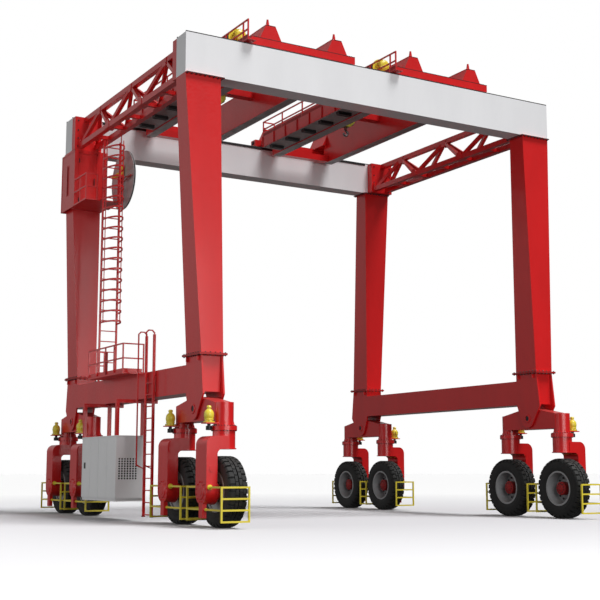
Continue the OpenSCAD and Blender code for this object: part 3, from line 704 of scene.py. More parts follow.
@dataclass
class Bogie:
    """The equaliser beam's fittings, its steering motors and its pin."""

    ring_top: float = 2.275
    base: float = 2.345
    gear_z: tuple = (2.177, 2.272)
    teeth: int = 16
    ribs: int = 8
    ring_bolts: tuple = (0.268, 24, 0.028)
    foot_bolts: tuple = (0.116, 8, 0.02)
    flange: float = 0.075
    pin_r: float = 0.062
    rib: tuple = ((0.2, 2.27), (0.25, 2.27), (0.25, 2.29), (0.2, 2.45))
    motor: tuple = (
        (0.0, 0.0), (0.128, 0.0), (0.13, 0.012), (0.13, 0.03), (0.1, 0.034), (0.098, 0.06),
        (0.108, 0.064), (0.11, 0.085), (0.1, 0.095), (0.112, 0.13), (0.116, 0.18), (0.108, 0.23),
        (0.088, 0.27), (0.06, 0.296), (0.048, 0.3), (0.046, 0.33), (0.056, 0.336), (0.056, 0.36),
        (0.04, 0.385), (0.0, 0.39),
    )

    def build(self, corner: Corner) -> None:
        """Dresses one bogie.

        Args:
            corner: The bogie.
        """
        body, s = f"bogie_{corner.name}", corner.out
        node = f"steering_motors_{corner.name}"
        low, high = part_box(node)
        motors = Piece(f"motor_housings_{corner.name}")
        gears = Piece(f"steering_gears_{corner.name}")
        fits = Piece(f"bogie_bolts_{corner.name}")
        ribs = Piece(f"column_ribs_{corner.name}")
        x = (low.x + high.x) / 2
        base, (low_z, high_z) = self.base, self.gear_z
        for wheel in WHEELS:
            hub = middle(f"tyre_{corner.name}_{wheel}")
            motors.lathe(self.motor, (x, hub.y, base), (0, 0, 1), 32)
            motors.block(
                (x - 0.045, hub.y - corner.way * 0.1, base + 0.13),
                (x + 0.045, hub.y - corner.way * 0.15, base + 0.22),
                0.008,
            )
            gears.rod((x, hub.y, low_z - 0.002), (x, hub.y, base), 0.04, 20)
            gears.rod((x, hub.y, low_z), (x, hub.y, high_z), 0.058, 24)
            for i in range(self.teeth):
                turn = Matrix.Rotation(2 * math.pi * i / self.teeth, 4, "Z")
                turn = Matrix.Translation((x, hub.y, 0)) @ turn
                gears.block((0.055, -0.006, low_z), (0.069, 0.006, high_z), turn=turn)
            fits.bolt_circle((x, hub.y, base + 0.03), (0, 0, 1), *self.foot_bolts)
            fits.bolt_circle((hub.x, hub.y, self.ring_top), (0, 0, 1), *self.ring_bolts)
            for i in range(self.ribs):
                turn = Matrix.Rotation(2 * math.pi * (i + 0.5) / self.ribs, 4, "Z")
                ribs.at = Matrix.Translation((hub.x, hub.y, 0)) @ turn
                ribs.plate([(r, -0.008, z) for r, z in self.rib], (0, 0.016, 0))
        centre_y = middle(f"bogie_beam_{corner.name}").y
        pins = Piece(f"pivot_pin_{corner.name}")
        sill_low, sill_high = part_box("left_sill" if s < 0 else "right_sill")
        for side, face in ((-1, sill_low.x + self.flange), (1, sill_high.x - self.flange)):
            ends = (face - side * 0.012, face + side * 0.004)
            pins.rod(*((end, centre_y, PIN_Z) for end in ends), self.pin_r, 28)
            pins.block(
                (face, centre_y - 0.02, PIN_Z - 0.02),
                (face + side * 0.014, centre_y + 0.02, PIN_Z + 0.02),
                0.003,
            )
        pins.done(DARK_STEEL, body)
        motors.done(YELLOW, body, [node])
        gears.done(DARK_STEEL, body)
        fits.done(DARK_STEEL, body)
        ribs.done(RED, body)


@dataclass
class Portal:
    """Bolts, rails and edges of the girders, the legs and the sills; the legs' flange edges are
    painted shade.
    """

    flange: float = 0.075
    bolt_pitch: float = 0.125
    joint_z: float = 3.985
    plate_t: float = 0.025
    stop_h: float = 0.1
    clip_pitch: float = 0.6
    foot_y: tuple = (3.815, 4.65)
    head_out: float = 4.365
    head_bolt_in: float = 0.285
    rail_half: float = 0.031
    rail_end: float = 0.46
    clip_end: float = 0.6
    strip_end: float = 0.96
    face_half: float = 0.275
    proud: float = 0.003
    ring: tuple = (
        (0.071, 0.0), (0.12, 0.0), (0.12, 0.012), (0.112, 0.018), (0.074, 0.018), (0.071, 0.014),
    )

    def _flange_bolts(
        self, piece: Piece, low: Point, high: Point, zs: Sequence[tuple[float, int]], open_x: int
    ) -> None:
        """Adds bolts along the rim of a flange.

        Args:
            piece: The piece to add them to.
            low: The flange's low corner, X and Y.
            high: The flange's high corner, X and Y.
            zs: Heights of the faces the heads stand on, with +1 or -1 for the way they face.
            open_x: The side in X where the flange has no rim, or 0.
        """
        half = self.flange / 2
        spots = []
        nx = max(2, round((high[0] - low[0] - self.flange) / self.bolt_pitch))
        ny = max(2, round((high[1] - low[1] - self.flange) / self.bolt_pitch))
        for i in range(nx + 1):
            x = low[0] + half + (high[0] - low[0] - self.flange) * i / nx
            spots += [(x, low[1] + half), (x, high[1] - half)]
        for i in range(1, ny):
            y = low[1] + half + (high[1] - low[1] - self.flange) * i / ny
            rows = ((low[0] + half, -1), (high[0] - half, 1))
            spots += [(x, y) for x, side in rows if side != open_x]
        for x, y in spots:
            for z, way in zs:
                piece.bolt((x, y, z), (0, 0, way))

    def build(self) -> None:
        """Dresses the portal."""
        bolts = Piece("flange_bolts")
        g_low, g_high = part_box("front_girder")
        top = g_high.z - self.stop_h
        for side, sign in (("left", -1), ("right", 1)):
            low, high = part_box(f"{side}_sill")
            leg_low, leg_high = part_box(f"{side}_legs")
            for way in (-1, 1):
                edge = leg_high.y if way > 0 else leg_low.y
                foot_in = self.foot_y[0] - self.flange
                foot_out = self.foot_y[1] + self.flange
                ys = sorted((way * foot_in, way * foot_out))
                self._flange_bolts(
                    bolts,
                    (low.x, ys[0]),
                    (high.x, ys[1]),
                    ((self.joint_z + self.plate_t, 1), (self.joint_z - self.plate_t, -1)),
                    0,
                )
                ys = sorted((way * foot_in, edge - way * self.head_bolt_in))
                self._flange_bolts(
                    bolts,
                    (leg_low.x, ys[0]),
                    (leg_high.x, ys[1]),
                    ((g_low.z - self.plate_t, -1),),
                    sign,
                )
        bolts.done(DARK_STEEL, "frame")
        rails = Piece("crane_rails")
        strips = Piece("girder_edge_strips")
        for name, way in (("front_girder", -1), ("back_girder", 1)):
            low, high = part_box(name)
            mid = (low.y + high.y) / 2
            length = high.x - low.x
            half = self.rail_half
            rails.block(
                (low.x + self.rail_end, mid - half, top + 0.035),
                (high.x - self.rail_end, mid + half, top + 0.051),
                0.006,
            )
            run = length - 2 * self.clip_end
            count = int(run / self.clip_pitch)
            for i in range(count + 1):
                x = low.x + self.clip_end + run * i / count
                for side in (-1, 1):
                    rails.block(
                        (x - 0.04, mid + side * half, top),
                        (x + 0.04, mid + side * 0.105, top + 0.022),
                        0.004,
                    )
                    rails.bolt((x, mid + side * 0.075, top + 0.022), (0, 0, 1), 0.034)
            for side in (-1, 1):
                face = mid + side * self.face_half
                strips.block((low.x, face - side * 0.03, top), (high.x, face, top + 0.028), 0.004)
                if side == -way:
                    strips.block(
                        (low.x + self.strip_end, face, top - 0.06),
                        (high.x - self.strip_end, face + side * 0.012, top + 0.02),
                        0.003,
                    )
        rails.done(BRIGHT_STEEL, "frame")
        strips.done(BLACK, "frame")
        self._painted_flange_shade()
        self._pins()

    def _painted_flange_shade(self) -> None:
        """Adds dark strips round the flange plates at the legs' ends: painted shade along the
        plates' edges.
        """
        head_flange_shade, feet = Piece("head_flange_painted_shade"), Piece("foot_flange_painted_shade")
        proud, low_y = self.proud, self.foot_y[0] - self.flange
        for side, sign in (("left", -1), ("right", 1)):
            low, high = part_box(f"{side}_sill")
            leg_low, leg_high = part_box(f"{side}_legs")
            girder_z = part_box("front_girder")[0].z
            for way in (-1, 1):
                foot = sorted((way * low_y, way * (self.foot_y[1] + self.flange)))
                head = sorted((way * low_y, way * (self.head_out + self.flange)))
                foot_z = (self.joint_z - self.plate_t, self.joint_z + self.plate_t)
                for (y0, y1), (x0, x1), (z0, z1) in (
                    (foot, (low.x, high.x), foot_z),
                    (head, (leg_low.x, leg_high.x), (girder_z - self.plate_t, girder_z)),
                ):
                    # Head edges are black and foot edges darker red: both are painted shade.
                    edge = feet if z1 < girder_z else head_flange_shade
                    for y, out in ((y0, -1), (y1, 1)):
                        edge.block((x0, y, z0 + 0.002), (x1, y + out * proud, z1 - 0.002))
                    for x, out in ((x0, -1), (x1, 1)):
                        if out != sign or z1 < girder_z:
                            edge.block((x, y0, z0 + 0.002), (x + out * proud, y1, z1 - 0.002))
        head_flange_shade.done(BLACK, "frame")
        feet.done(SHADED_RED, "frame")

    def _pins(self) -> None:
        """Adds the rings welded round the pivot holes, and the ribs of the saddles."""
        rings = Piece("pivot_rings")
        for side in ("left", "right"):
            low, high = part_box(f"{side}_sill")
            for way in (-1, 1):
                y = way * PIN_Y
                for sign, face in ((-1, low.x + self.flange), (1, high.x - self.flange)):
                    rings.lathe(self.ring, (face, y, PIN_Z), (sign, 0, 0), 36, closed=True)
                    for dy in (-0.3, 0.3):
                        rings.block(
                            (face, y + dy - 0.008, self.joint_z - 0.16),
                            (face + sign * 0.06, y + dy + 0.008, self.joint_z - self.plate_t),
                        )
        rings.done(RED, "frame")


@dataclass
class EndTruss:
    """Gusset plates of a lattice truss, and bolts on its end frames."""

    plate: float = 0.3
    bays: int = 6
    end_t: float = 0.25
    top_in: float = 0.38
    lower_in: tuple = (0.2, 0.7)
    half_tube: float = 0.077
    low_rise: float = 0.115
    top_drop: float = 0.075
    under: tuple = (0.083, 0.075)
    gusset: tuple = ((-1.0, 0.06), (1.0, 0.06), (0.6, -0.16), (-0.6, -0.16))

    def build(self, side: str) -> None:
        """Dresses one truss.

        Args:
            side: "left" or "right".
        """
        low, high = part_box(f"{side}_end_truss")
        sign = -1 if side == "left" else 1
        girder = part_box("front_girder")
        end = girder[0].x if sign < 0 else girder[1].x
        y_end = high.y - self.end_t
        bay = 2 * y_end / self.bays
        gussets = Piece(f"truss_gussets_{side}")
        low_z, top_z = low.z + self.low_rise, high.z - self.top_drop
        reach = self.plate / 2
        for i in range(self.bays + 1):
            y = -y_end + i * bay
            upper = i % 2 == 1
            z, flip = (top_z, 1) if upper else (low_z, -1)
            for inset in self.lower_in:
                out = 1 if inset < self.top_in else -1
                x = end - sign * (self.top_in if upper else inset)
                face = x + sign * out * self.half_tube
                corners = [
                    (face, min(max(y + part * reach, -y_end), y_end), z + flip * dz)
                    for part, dz in self.gusset
                ]
                gussets.plate(corners, (sign * out * 0.012, 0, 0))
            if 0 < i < self.bays:
                z0, z1 = (low_z - drop for drop in self.under)
                for inset, out in zip(self.lower_in, (-1, 1)):
                    x = end - sign * inset
                    gussets.block((x, y - 0.16, z0), (x + out * sign * 0.14, y + 0.16, z1))
        gussets.done(RED, "frame")
        bolts = Piece(f"truss_bolts_{side}")
        for way in (-1, 1):
            face = way * y_end
            for z in (low.z + 0.1, low.z + 0.35, low.z + 0.6, high.z - 0.12):
                for x in (low.x + 0.1, high.x - 0.1):
                    bolts.bolt((x, face, z), (0, -way, 0), 0.034)
        bolts.done(DARK_STEEL, "frame")


@dataclass
class Trolley:
    """Hoist, hook block, walkway fittings and buffers of one trolley."""

    top: float = 12.17
    reach: float = 1.82
    walk_top: float = 11.97
    walk_front: float = -4.54
    box_front: float = -3.75
    box_low: float = 11.62
    half: float = 2.95
    pitch: float = 2.0
    cross_w: float = 0.3
    cross_low: float = 11.58
    ridge_top: float = 12.535
    drum_x: float = -1.531
    drum_y: float = -3.38
    drum_z: float = 12.4
    drum_r: float = 0.24
    fins: int = 20
    feet_y: tuple = (-3.5, -2.9, -2.45)
    rope_r: float = 0.014
    rope_turns: int = 30
    rope_pitch: float = 2.2
    hook_place: tuple = (-0.33, 0.3)
    hook_top: float = 12.13
    cheek: tuple = (
        (-0.28, -0.04), (-0.22, 0.0), (0.22, 0.0), (0.28, -0.04),
        (0.28, -0.14), (0.12, -0.3), (-0.12, -0.3), (-0.28, -0.14),
    )
    sheave: tuple = ((0.02, -0.024), (0.13, -0.024), (0.112, 0.0), (0.13, 0.024), (0.02, 0.024))
    hook_r: float = 0.075
    hook_wire: float = 0.036
    under_blocks: int = 6
    boards: int = 24
    head_y: tuple = (3.3, 4.24)
    soffit_y: float = 3.49
    soffit_t: float = 0.012
    rib_y: tuple = (4.05, 3.5)
    rib: tuple = ((0.13, 12.523), (0.2, 12.395), (0.318, 12.19), (0.29, 12.19), (0.13, 12.455))
    beam_half: float = 1.56

    def build(self, side: str) -> None:
        """Dresses one trolley.

        Args:
            side: "left" or "right".
        """
        body = f"trolley_{side}"
        x0 = middle(f"trolley_frame_{side}").x
        self._hoist(side, x0, body)
        self._hook(side, x0, body)
        self._fittings(side, x0, body)

    def _hoist(self, side: str, x0: float, body: str) -> None:
        """Makes the drum with its rope, the gear case and the motor."""
        x, y, z, r = x0 + self.drum_x, self.drum_y, self.drum_z, self.drum_r
        hoist = Piece(f"hoist_machine_{side}")
        drum = (
            (0.0, 0.0), (r, 0.0), (r, 0.035), (r - 0.05, 0.035), (r - 0.05, 0.985),
            (r, 0.985), (r, 1.02), (0.0, 1.02),
        )
        motor = (
            (0.0, 0.0), (r - 0.06, 0.0), (r - 0.06, 0.03), (r - 0.08, 0.045), (r - 0.08, 0.2),
            (r - 0.1, 0.24), (0.08, 0.265), (0.0, 0.265),
        )
        hoist.lathe(drum, (x, y, z), (0, 1, 0), 44)
        hoist.block((x - 0.185, -2.35, self.walk_top), (x + 0.185, -2.085, z + r), 0.04)
        hoist.lathe(motor, (x, y, z), (0, -1, 0), 32)
        for i in range(self.fins):
            turn = Matrix.Rotation(2 * math.pi * i / self.fins, 4, "Y")
            turn = Matrix.Translation((x, 0, z)) @ turn
            hoist.block(
                (r - 0.09, y - 0.2, -0.005), (r - 0.066, y - 0.05, 0.005), turn=turn
            )
        foot_top, web_top = self.walk_top + 0.03, z - r * 0.6
        for foot in self.feet_y:
            hoist.block(
                (x - 0.14, foot - 0.055, self.walk_top), (x + 0.14, foot + 0.055, foot_top), 0.006
            )
            web = ((-0.13, foot_top), (0.13, foot_top), (0.09, web_top), (-0.09, web_top))
            hoist.plate([(x + dx, foot - 0.025, dz) for dx, dz in web], (0, 0.05, 0))
        hoist.done(YELLOW, body, [f"hoist_{side}"])
        rope = Piece(f"drum_rope_{side}")
        core, pitch = r - 0.055, self.rope_r * self.rope_pitch
        profile = [(core, 0.0)]
        for i in range(self.rope_turns):
            start = 0.02 + i * pitch
            profile += [
                (core + 0.008, start),
                (core + 0.019, start + self.rope_r),
                (core + 0.008, start + self.rope_r * 2),
            ]
        profile.append((core, 0.03 + self.rope_turns * pitch))
        rope.lathe(profile, (x, -3.34, z), (0, 1, 0), 40, closed=True)
        rope.done(BRIGHT_STEEL, body)

    def _hook(self, side: str, x0: float, body: str) -> None:
        """Makes the hook block, its sheaves, its ropes and the hook."""
        x, y, top = x0 + self.hook_place[0], self.hook_place[1], self.hook_top
        cheeks = Piece(f"hook_block_{side}")
        for way in (-1, 1):
            corners = [(x + dx, y + way * 0.11, top + dz) for dx, dz in self.cheek]
            cheeks.plate(corners, (0, -way * 0.035, 0), 0.005)
        cheeks.block((x - 0.115, y - 0.075, top - 0.3), (x + 0.115, y + 0.075, top - 0.21), 0.01)
        cheeks.block((x - 0.03, y - 0.076, top - 0.2), (x + 0.03, y + 0.076, top - 0.01), 0.01)
        cheeks.done(OLIVE, body)
        steel = Piece(f"hook_and_ropes_{side}")
        for sx in (-1, 1):
            for sy in (-1, 1):
                place = (x + sx * 0.15, y + sy * 0.035, top - 0.13)
                steel.lathe(self.sheave, place, (0, 1, 0), 28, closed=True)
                foot = (x + sx * 0.187, y + sy * 0.073, top - 0.1)
                steel.rod(foot, (foot[0], foot[1], self.top + 0.02), 0.012, 10)
        steel.rod((x, y, top - 0.41), (x, y, top - 0.28), 0.045, 20)
        bends = (2 * math.pi * k / 12 for k in range(12))
        wire = self.hook_wire
        ring = [(self.hook_r + wire * math.cos(a), wire * math.sin(a)) for a in bends]
        steel.lathe(ring, (x, y, top - 0.5), (0, 1, 0), 26, (90, 270), closed=True)
        steel.done(BRIGHT_STEEL, body)

    def _fittings(self, side: str, x0: float, body: str) -> None:
        """Adds the blocks under the walkway, the bolts, the buffers and the deck."""
        blocks = Piece(f"walkway_blocks_{side}")
        gap = (2 * self.half - 0.9) / (self.under_blocks - 1)
        for i in range(self.under_blocks):
            y = -self.half + 0.45 + i * gap
            blocks.block(
                (x0 - self.reach + 0.06, y - 0.085, self.box_low - 0.1),
                (x0 - self.reach + 0.5, y + 0.085, self.box_low),
                0.01,
            )
        for sx in (-1, 1):
            for way in (-1, 1):
                y, z = way * 4.09, self.top - 0.1
                blocks.rod((x0 + sx * 1.52, y, z), (x0 + sx * 1.585, y, z), 0.06, 20)
        blocks.done(BLACK, body)
        bolts = Piece(f"trolley_bolts_{side}")
        for sx in (-1, 1):
            for way in (-1, 1):
                for k in range(6):
                    x = x0 + sx * (1.17 + 0.06 * k)
                    bolts.bolt((x, way * 4.2, self.top), (0, 0, 1), 0.032)
        bolts.done(DARK_STEEL, body)
        deck = Piece(f"walkway_deck_{side}")
        left, floor = x0 - self.reach, self.walk_top
        length = (self.half - self.walk_front - 0.04) / self.boards
        for i in range(self.boards):
            y = self.walk_front + 0.03 + i * length
            right = left + (0.24 if y < self.box_front else 0.5)
            deck.block((left + 0.04, y, floor), (right, y + length - 0.02, floor + 0.01), 0.003)
        for z0, z1 in ((floor, floor + 0.1), (floor - 0.05, floor - 0.03)):
            deck.block((left + 0.001, self.walk_front, z0), (left + 0.012, self.half, z1), 0.002)
        deck.done(SHADED_RED, body)
        soffit = Piece(f"girder_soffits_{side}")
        thick, half = self.soffit_t, self.cross_w / 2
        beams = (x0 - self.pitch / 2, x0 + self.pitch / 2)
        soffit.block(
            (left + 0.02, -self.half + 0.02, self.box_low - thick),
            (beams[0] - half - 0.01, self.half - 0.02, self.box_low),
        )
        for x in beams:
            soffit.block(
                (x - half + 0.01, -self.soffit_y, self.cross_low - thick),
                (x + half - 0.01, self.soffit_y, self.cross_low),
            )
        soffit.done(PRIMER, body)
        caps = Piece(f"ridge_caps_{side}")
        edges = Piece(f"trolley_edges_{side}")
        inner, outer = self.head_y
        low_z, high_z = self.ridge_top - 0.004, self.ridge_top + 0.012
        for sx, x in zip((-1, 1), beams):
            caps.block(
                (x - half - 0.01, 0.005 - inner, low_z),
                (x + half + 0.01, inner - 0.005, high_z),
                0.004,
            )
            for way in (-1, 1):
                caps.block(
                    (x - half + 0.005, way * inner, low_z),
                    (x + half - 0.005, way * (outer - 0.005), high_z),
                    0.004,
                )
                for y in self.rib_y:
                    corners = [(x + sx * dx, way * y, z) for dx, z in self.rib]
                    caps.plate(corners, (0, way * 0.014, 0))
        caps.done(RED, body)
        for way in (-1, 1):
            y = way * outer
            edges.block(
                (x0 - self.beam_half, y, self.top - 0.012),
                (x0 + self.beam_half, y + way * 0.004, self.top),
            )
            for x in beams:
                edges.block(
                    (x - 0.137, y, self.ridge_top - 0.01),
                    (x + 0.137, y + way * 0.004, self.ridge_top + 0.002),
                )
        edges.done(BLACK, body)


@dataclass
class Access:
    """Deck, toe boards and post of the platform, and the ladders' feet."""

    deck_top: float = 3.81
    board: float = 0.1
    out: float = -5.76
    rows: int = 34
    columns: int = 13
    pitch: tuple = (0.07, 0.0735)
    leg_foot: tuple = (3.77, 3.785)

    def build(self) -> None:
        """Dresses the platform and the ladders."""
        out, top = self.out, self.deck_top
        deck = Piece("chequer_deck")
        deck.block((out + 0.005, -0.845, top), (-4.8, 1.695, top + 0.006), 0.001)
        for i in range(self.rows):
            for j in range(self.columns):
                x = out + 0.06 + j * self.pitch[0]
                y = -0.81 + i * self.pitch[1]
                turn = Matrix.Rotation(math.radians(45 if (i + j) % 2 else -45), 4, "Z")
                turn = Matrix.Translation((x, y, top + 0.006)) @ turn
                deck.block((-0.022, -0.006, 0), (0.022, 0.006, 0.004), turn=turn)
        deck.done(SHADED_RED, "frame")
        boards = Piece("toe_boards")
        for low, high in (
            ((out + 0.034, -0.85), (out + 0.042, 1.7)),
            ((out, -0.816), (-5.2, -0.808)),
            ((out, 1.658), (-5.32, 1.666)),
        ):
            boards.block((*low, top), (*high, top + self.board))
        boards.done(RED, "frame")
        post = Piece("gate_post")
        post.block((out + 0.002, 0.36, top), (out + 0.062, 0.43, top + 0.62), 0.006)
        post.done(SHADED_RED, "frame")
        feet = Piece("ladder_feet")
        low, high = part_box("ground_ladder")
        for y in (low.y + 0.02, high.y - 0.02):
            feet.block(
                (high.x - 0.09, y - 0.035, low.z), (high.x - 0.01, y + 0.035, low.z + 0.02), 0.005
            )
        low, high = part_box("caged_ladder")
        z0, z1 = self.leg_foot
        for x in (low.x + 0.045, high.x - 0.045):
            feet.block((x - 0.06, high.y - 0.1, z0), (x + 0.06, high.y + 0.04, z1), 0.003)
        feet.done(DARK_STEEL, "frame")


@dataclass
class Cabinet:
    """A sheet metal power cabinet with doors, a roof, a plinth and vents."""

    skin: float = 0.014
    doors: int = 4
    gap: float = 0.014
    recess: float = 0.005
    door_z: tuple = (0.085, 0.045)
    handle_y: tuple = (0.88, 0.12)
    handle_h: float = 0.08
    screen: tuple = (0.24, 0.84, 0.68)
    vent_rows: int = 9
    vent_columns: int = 7
    vent_start: tuple = (0.11, 0.6)
    vent_pitch: tuple = (0.076, 0.062)
    vent_r: float = 0.025

    def build(self) -> None:
        """Makes the cabinet in place of its CAD block."""
        low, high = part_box("power_cabinet")
        k = self.skin
        shell = Piece("cabinet_shell")
        shell.block(
            (low.x + k, low.y + k, low.z + 0.06), (high.x - k, high.y - k, high.z - 0.03), 0.004
        )
        shell.block((low.x, low.y, high.z - 0.035), (high.x, high.y, high.z), 0.006)
        shell.block(
            (low.x + 0.03, low.y + 0.03, low.z), (high.x - 0.03, high.y - 0.03, low.z + 0.07)
        )
        width = (high.y - low.y - 0.02) / self.doors
        z0, z1 = low.z + self.door_z[0], high.z - self.door_z[1]
        for face, way in ((low.x, 1), (high.x, -1)):
            for i in range(self.doors):
                y = low.y + 0.01 + i * width
                shell.block(
                    (face + way * self.recess, y + self.gap / 2, z0),
                    (face + way * k * 1.5, y + width - self.gap / 2, z1),
                    0.003,
                )
        for face, way in ((low.y, 1), (high.y, -1)):
            shell.block(
                (low.x + 0.012, face + way * self.recess, z0),
                (high.x - 0.012, face + way * k * 1.5, z1),
                0.003,
            )
        z = (low.z + high.z) / 2
        for i in range(self.doors):
            y = low.y + 0.01 + (i + self.handle_y[i % 2]) * width
            shell.block(
                (low.x, y - 0.014, z - self.handle_h),
                (low.x + 0.012, y + 0.014, z + self.handle_h),
                0.003,
            )
        shell.done(POWDER, "frame", ["power_cabinet"])
        marks = Piece("cabinet_fittings")
        inset, foot, head = self.screen
        y = high.y - inset
        marks.block(
            (low.x + 0.001, y - 0.06, high.z - foot),
            (low.x + 0.012, y + 0.06, high.z - head),
            0.003,
        )
        y0, y1 = low.y + self.recess - 0.002, low.y + 0.01
        for i in range(self.vent_rows):
            for j in range(self.vent_columns):
                x = low.x + self.vent_start[0] + j * self.vent_pitch[0]
                z = high.z - self.vent_start[1] - i * self.vent_pitch[1]
                marks.rod((x, y0, z), (x, y1, z), self.vent_r, 8)
        marks.done(BLACK, "frame")


@dataclass
class Reel:
    """The reel's cable, flanges and drive, and the house beside it."""

    radius: float = 0.88
    core: float = 0.35
    bore: float = 0.0615
    spokes: int = 10
    turns: int = 4
    side_gap: float = 0.016
    house_wall: float = -5.725
    house_y: tuple = (3.395, 4.555)
    house_z: tuple = (9.05, 10.8)
    slot_y: tuple = (3.95, 4.05)
    door_x: tuple = (-5.6, -5.05)
    door_z: tuple = (9.13, 10.69)

    def build(self) -> None:
        """Dresses the cable reel and its house."""
        low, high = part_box("cable_reel")
        centre = (low + high) / 2
        wide = high.x - low.x
        flanges = Piece("reel_flanges")
        r, bore = self.radius, self.bore
        dish = (
            (bore, 0.0), (0.16, 0.0), (0.175, -0.006), (0.3, -0.008), (r - 0.05, -0.008),
            (r - 0.03, 0.0), (r, -0.002), (r, -0.014), (bore, -0.014),
        )
        for sign in (-1, 1):
            place = (centre.x + sign * wide / 2, centre.y, centre.z)
            flanges.lathe(dish, place, (sign, 0, 0), 96, closed=True)
            for i in range(self.spokes):
                turn = Matrix.Rotation(2 * math.pi * i / self.spokes, 4, "X")
                turn = Matrix.Translation(place) @ turn
                flanges.block(
                    (-sign * 0.009, -0.012, 0.17), (-sign * 0.001, 0.012, 0.83), turn=turn
                )
        sleeve = ((bore, -0.05), (0.12, -0.05), (0.12, 0.05), (bore, 0.05))
        flanges.lathe(sleeve, centre, (1, 0, 0), 40, closed=True)
        flanges.done(REEL_GREY, "cable_reel", ["cable_reel"])
        cable = Piece("reel_cable")
        pitch = (wide - 0.03) / self.turns
        edge = wide / 2 - self.side_gap
        profile = [(self.core, -edge)]
        for i in range(self.turns):
            start = -edge + i * pitch
            profile += [
                (r - 0.05, start),
                (r - 0.038, start + pitch / 2),
                (r - 0.05, start + pitch * 0.98),
            ]
        profile.append((self.core, edge))
        cable.lathe(profile, centre, (1, 0, 0), 72, closed=True)
        cable.done(BLACK, "cable_reel")
        self._drive(centre, low.x)
        self._house()

    def _drive(self, centre: Vector, near: float) -> None:
        """Adds the reel's drive and its strut to the stand."""
        drive = Piece("reel_drive")
        x, y, z = near - 0.05, centre.y, centre.z
        drive.block((x - 0.05, y - 0.09, z + 0.16), (x + 0.03, y + 0.5, z + 0.25), 0.012)
        drive.block((x - 0.05, y - 0.15, z + 0.1), (x + 0.03, y - 0.02, z + 0.42), 0.012)
        drive.rod((x - 0.01, y + 0.5, z + 0.205), (x - 0.01, y + 0.68, z + 0.205), 0.04, 20)
        drive.done(YELLOW, "frame")
        strut = Piece("reel_strut")
        for dz in (0.05, -0.12):
            strut.rod((x, y, z + dz), (x, y - 0.75, z - 0.02), 0.014, 10)
        strut.rod((x, y - 0.75, z - 0.05), (x, y - 0.75, z + 0.01), 0.025, 12)
        strut.done(SHADED_RED, "frame")

    def _house(self) -> None:
        """Adds the door, the frame round the slot, and the corner ribs of the house."""
        trim = Piece("house_trim")
        wall, (y0, y1), (z0, z1) = self.house_wall, self.house_y, self.house_z
        for y in (y0, y1 - 0.05):
            trim.block((wall - 0.008, y, z0), (wall, y + 0.05, z1))
        for z in (z0, z1 - 0.05):
            trim.block((wall - 0.008, y0, z), (wall, y1, z + 0.05))
        slot_y0, slot_y1 = self.slot_y
        for y in (slot_y0 - 0.015, slot_y1):
            trim.block((wall - 0.012, y, z0 + 0.43), (wall, y + 0.015, z0 + 1.37))
        (x0, x1), (low, high) = self.door_x, self.door_z
        for x in (x0, x1):
            trim.block((x, y0 - 0.012, low), (x + 0.03, y0, high + 0.03))
        for z in (low, high):
            trim.block((x0, y0 - 0.012, z), (x1 + 0.03, y0, z + 0.03))
        trim.done(RED, "frame")
        dark = Piece("house_fittings")
        dark.block((wall + 0.018, slot_y0, z0 + 0.45), (wall + 0.03, slot_y1, z0 + 1.35))
        dark.rod((-5.12, y0 - 0.03, 9.75), (-5.12, y0 - 0.03, 9.95), 0.012, 10)
        for z in (9.2, 10.4):
            dark.rod((-5.59, y0 - 0.02, z), (-5.59, y0 - 0.02, z + 0.12), 0.014, 10)
        dark.done(BLACK, "frame")


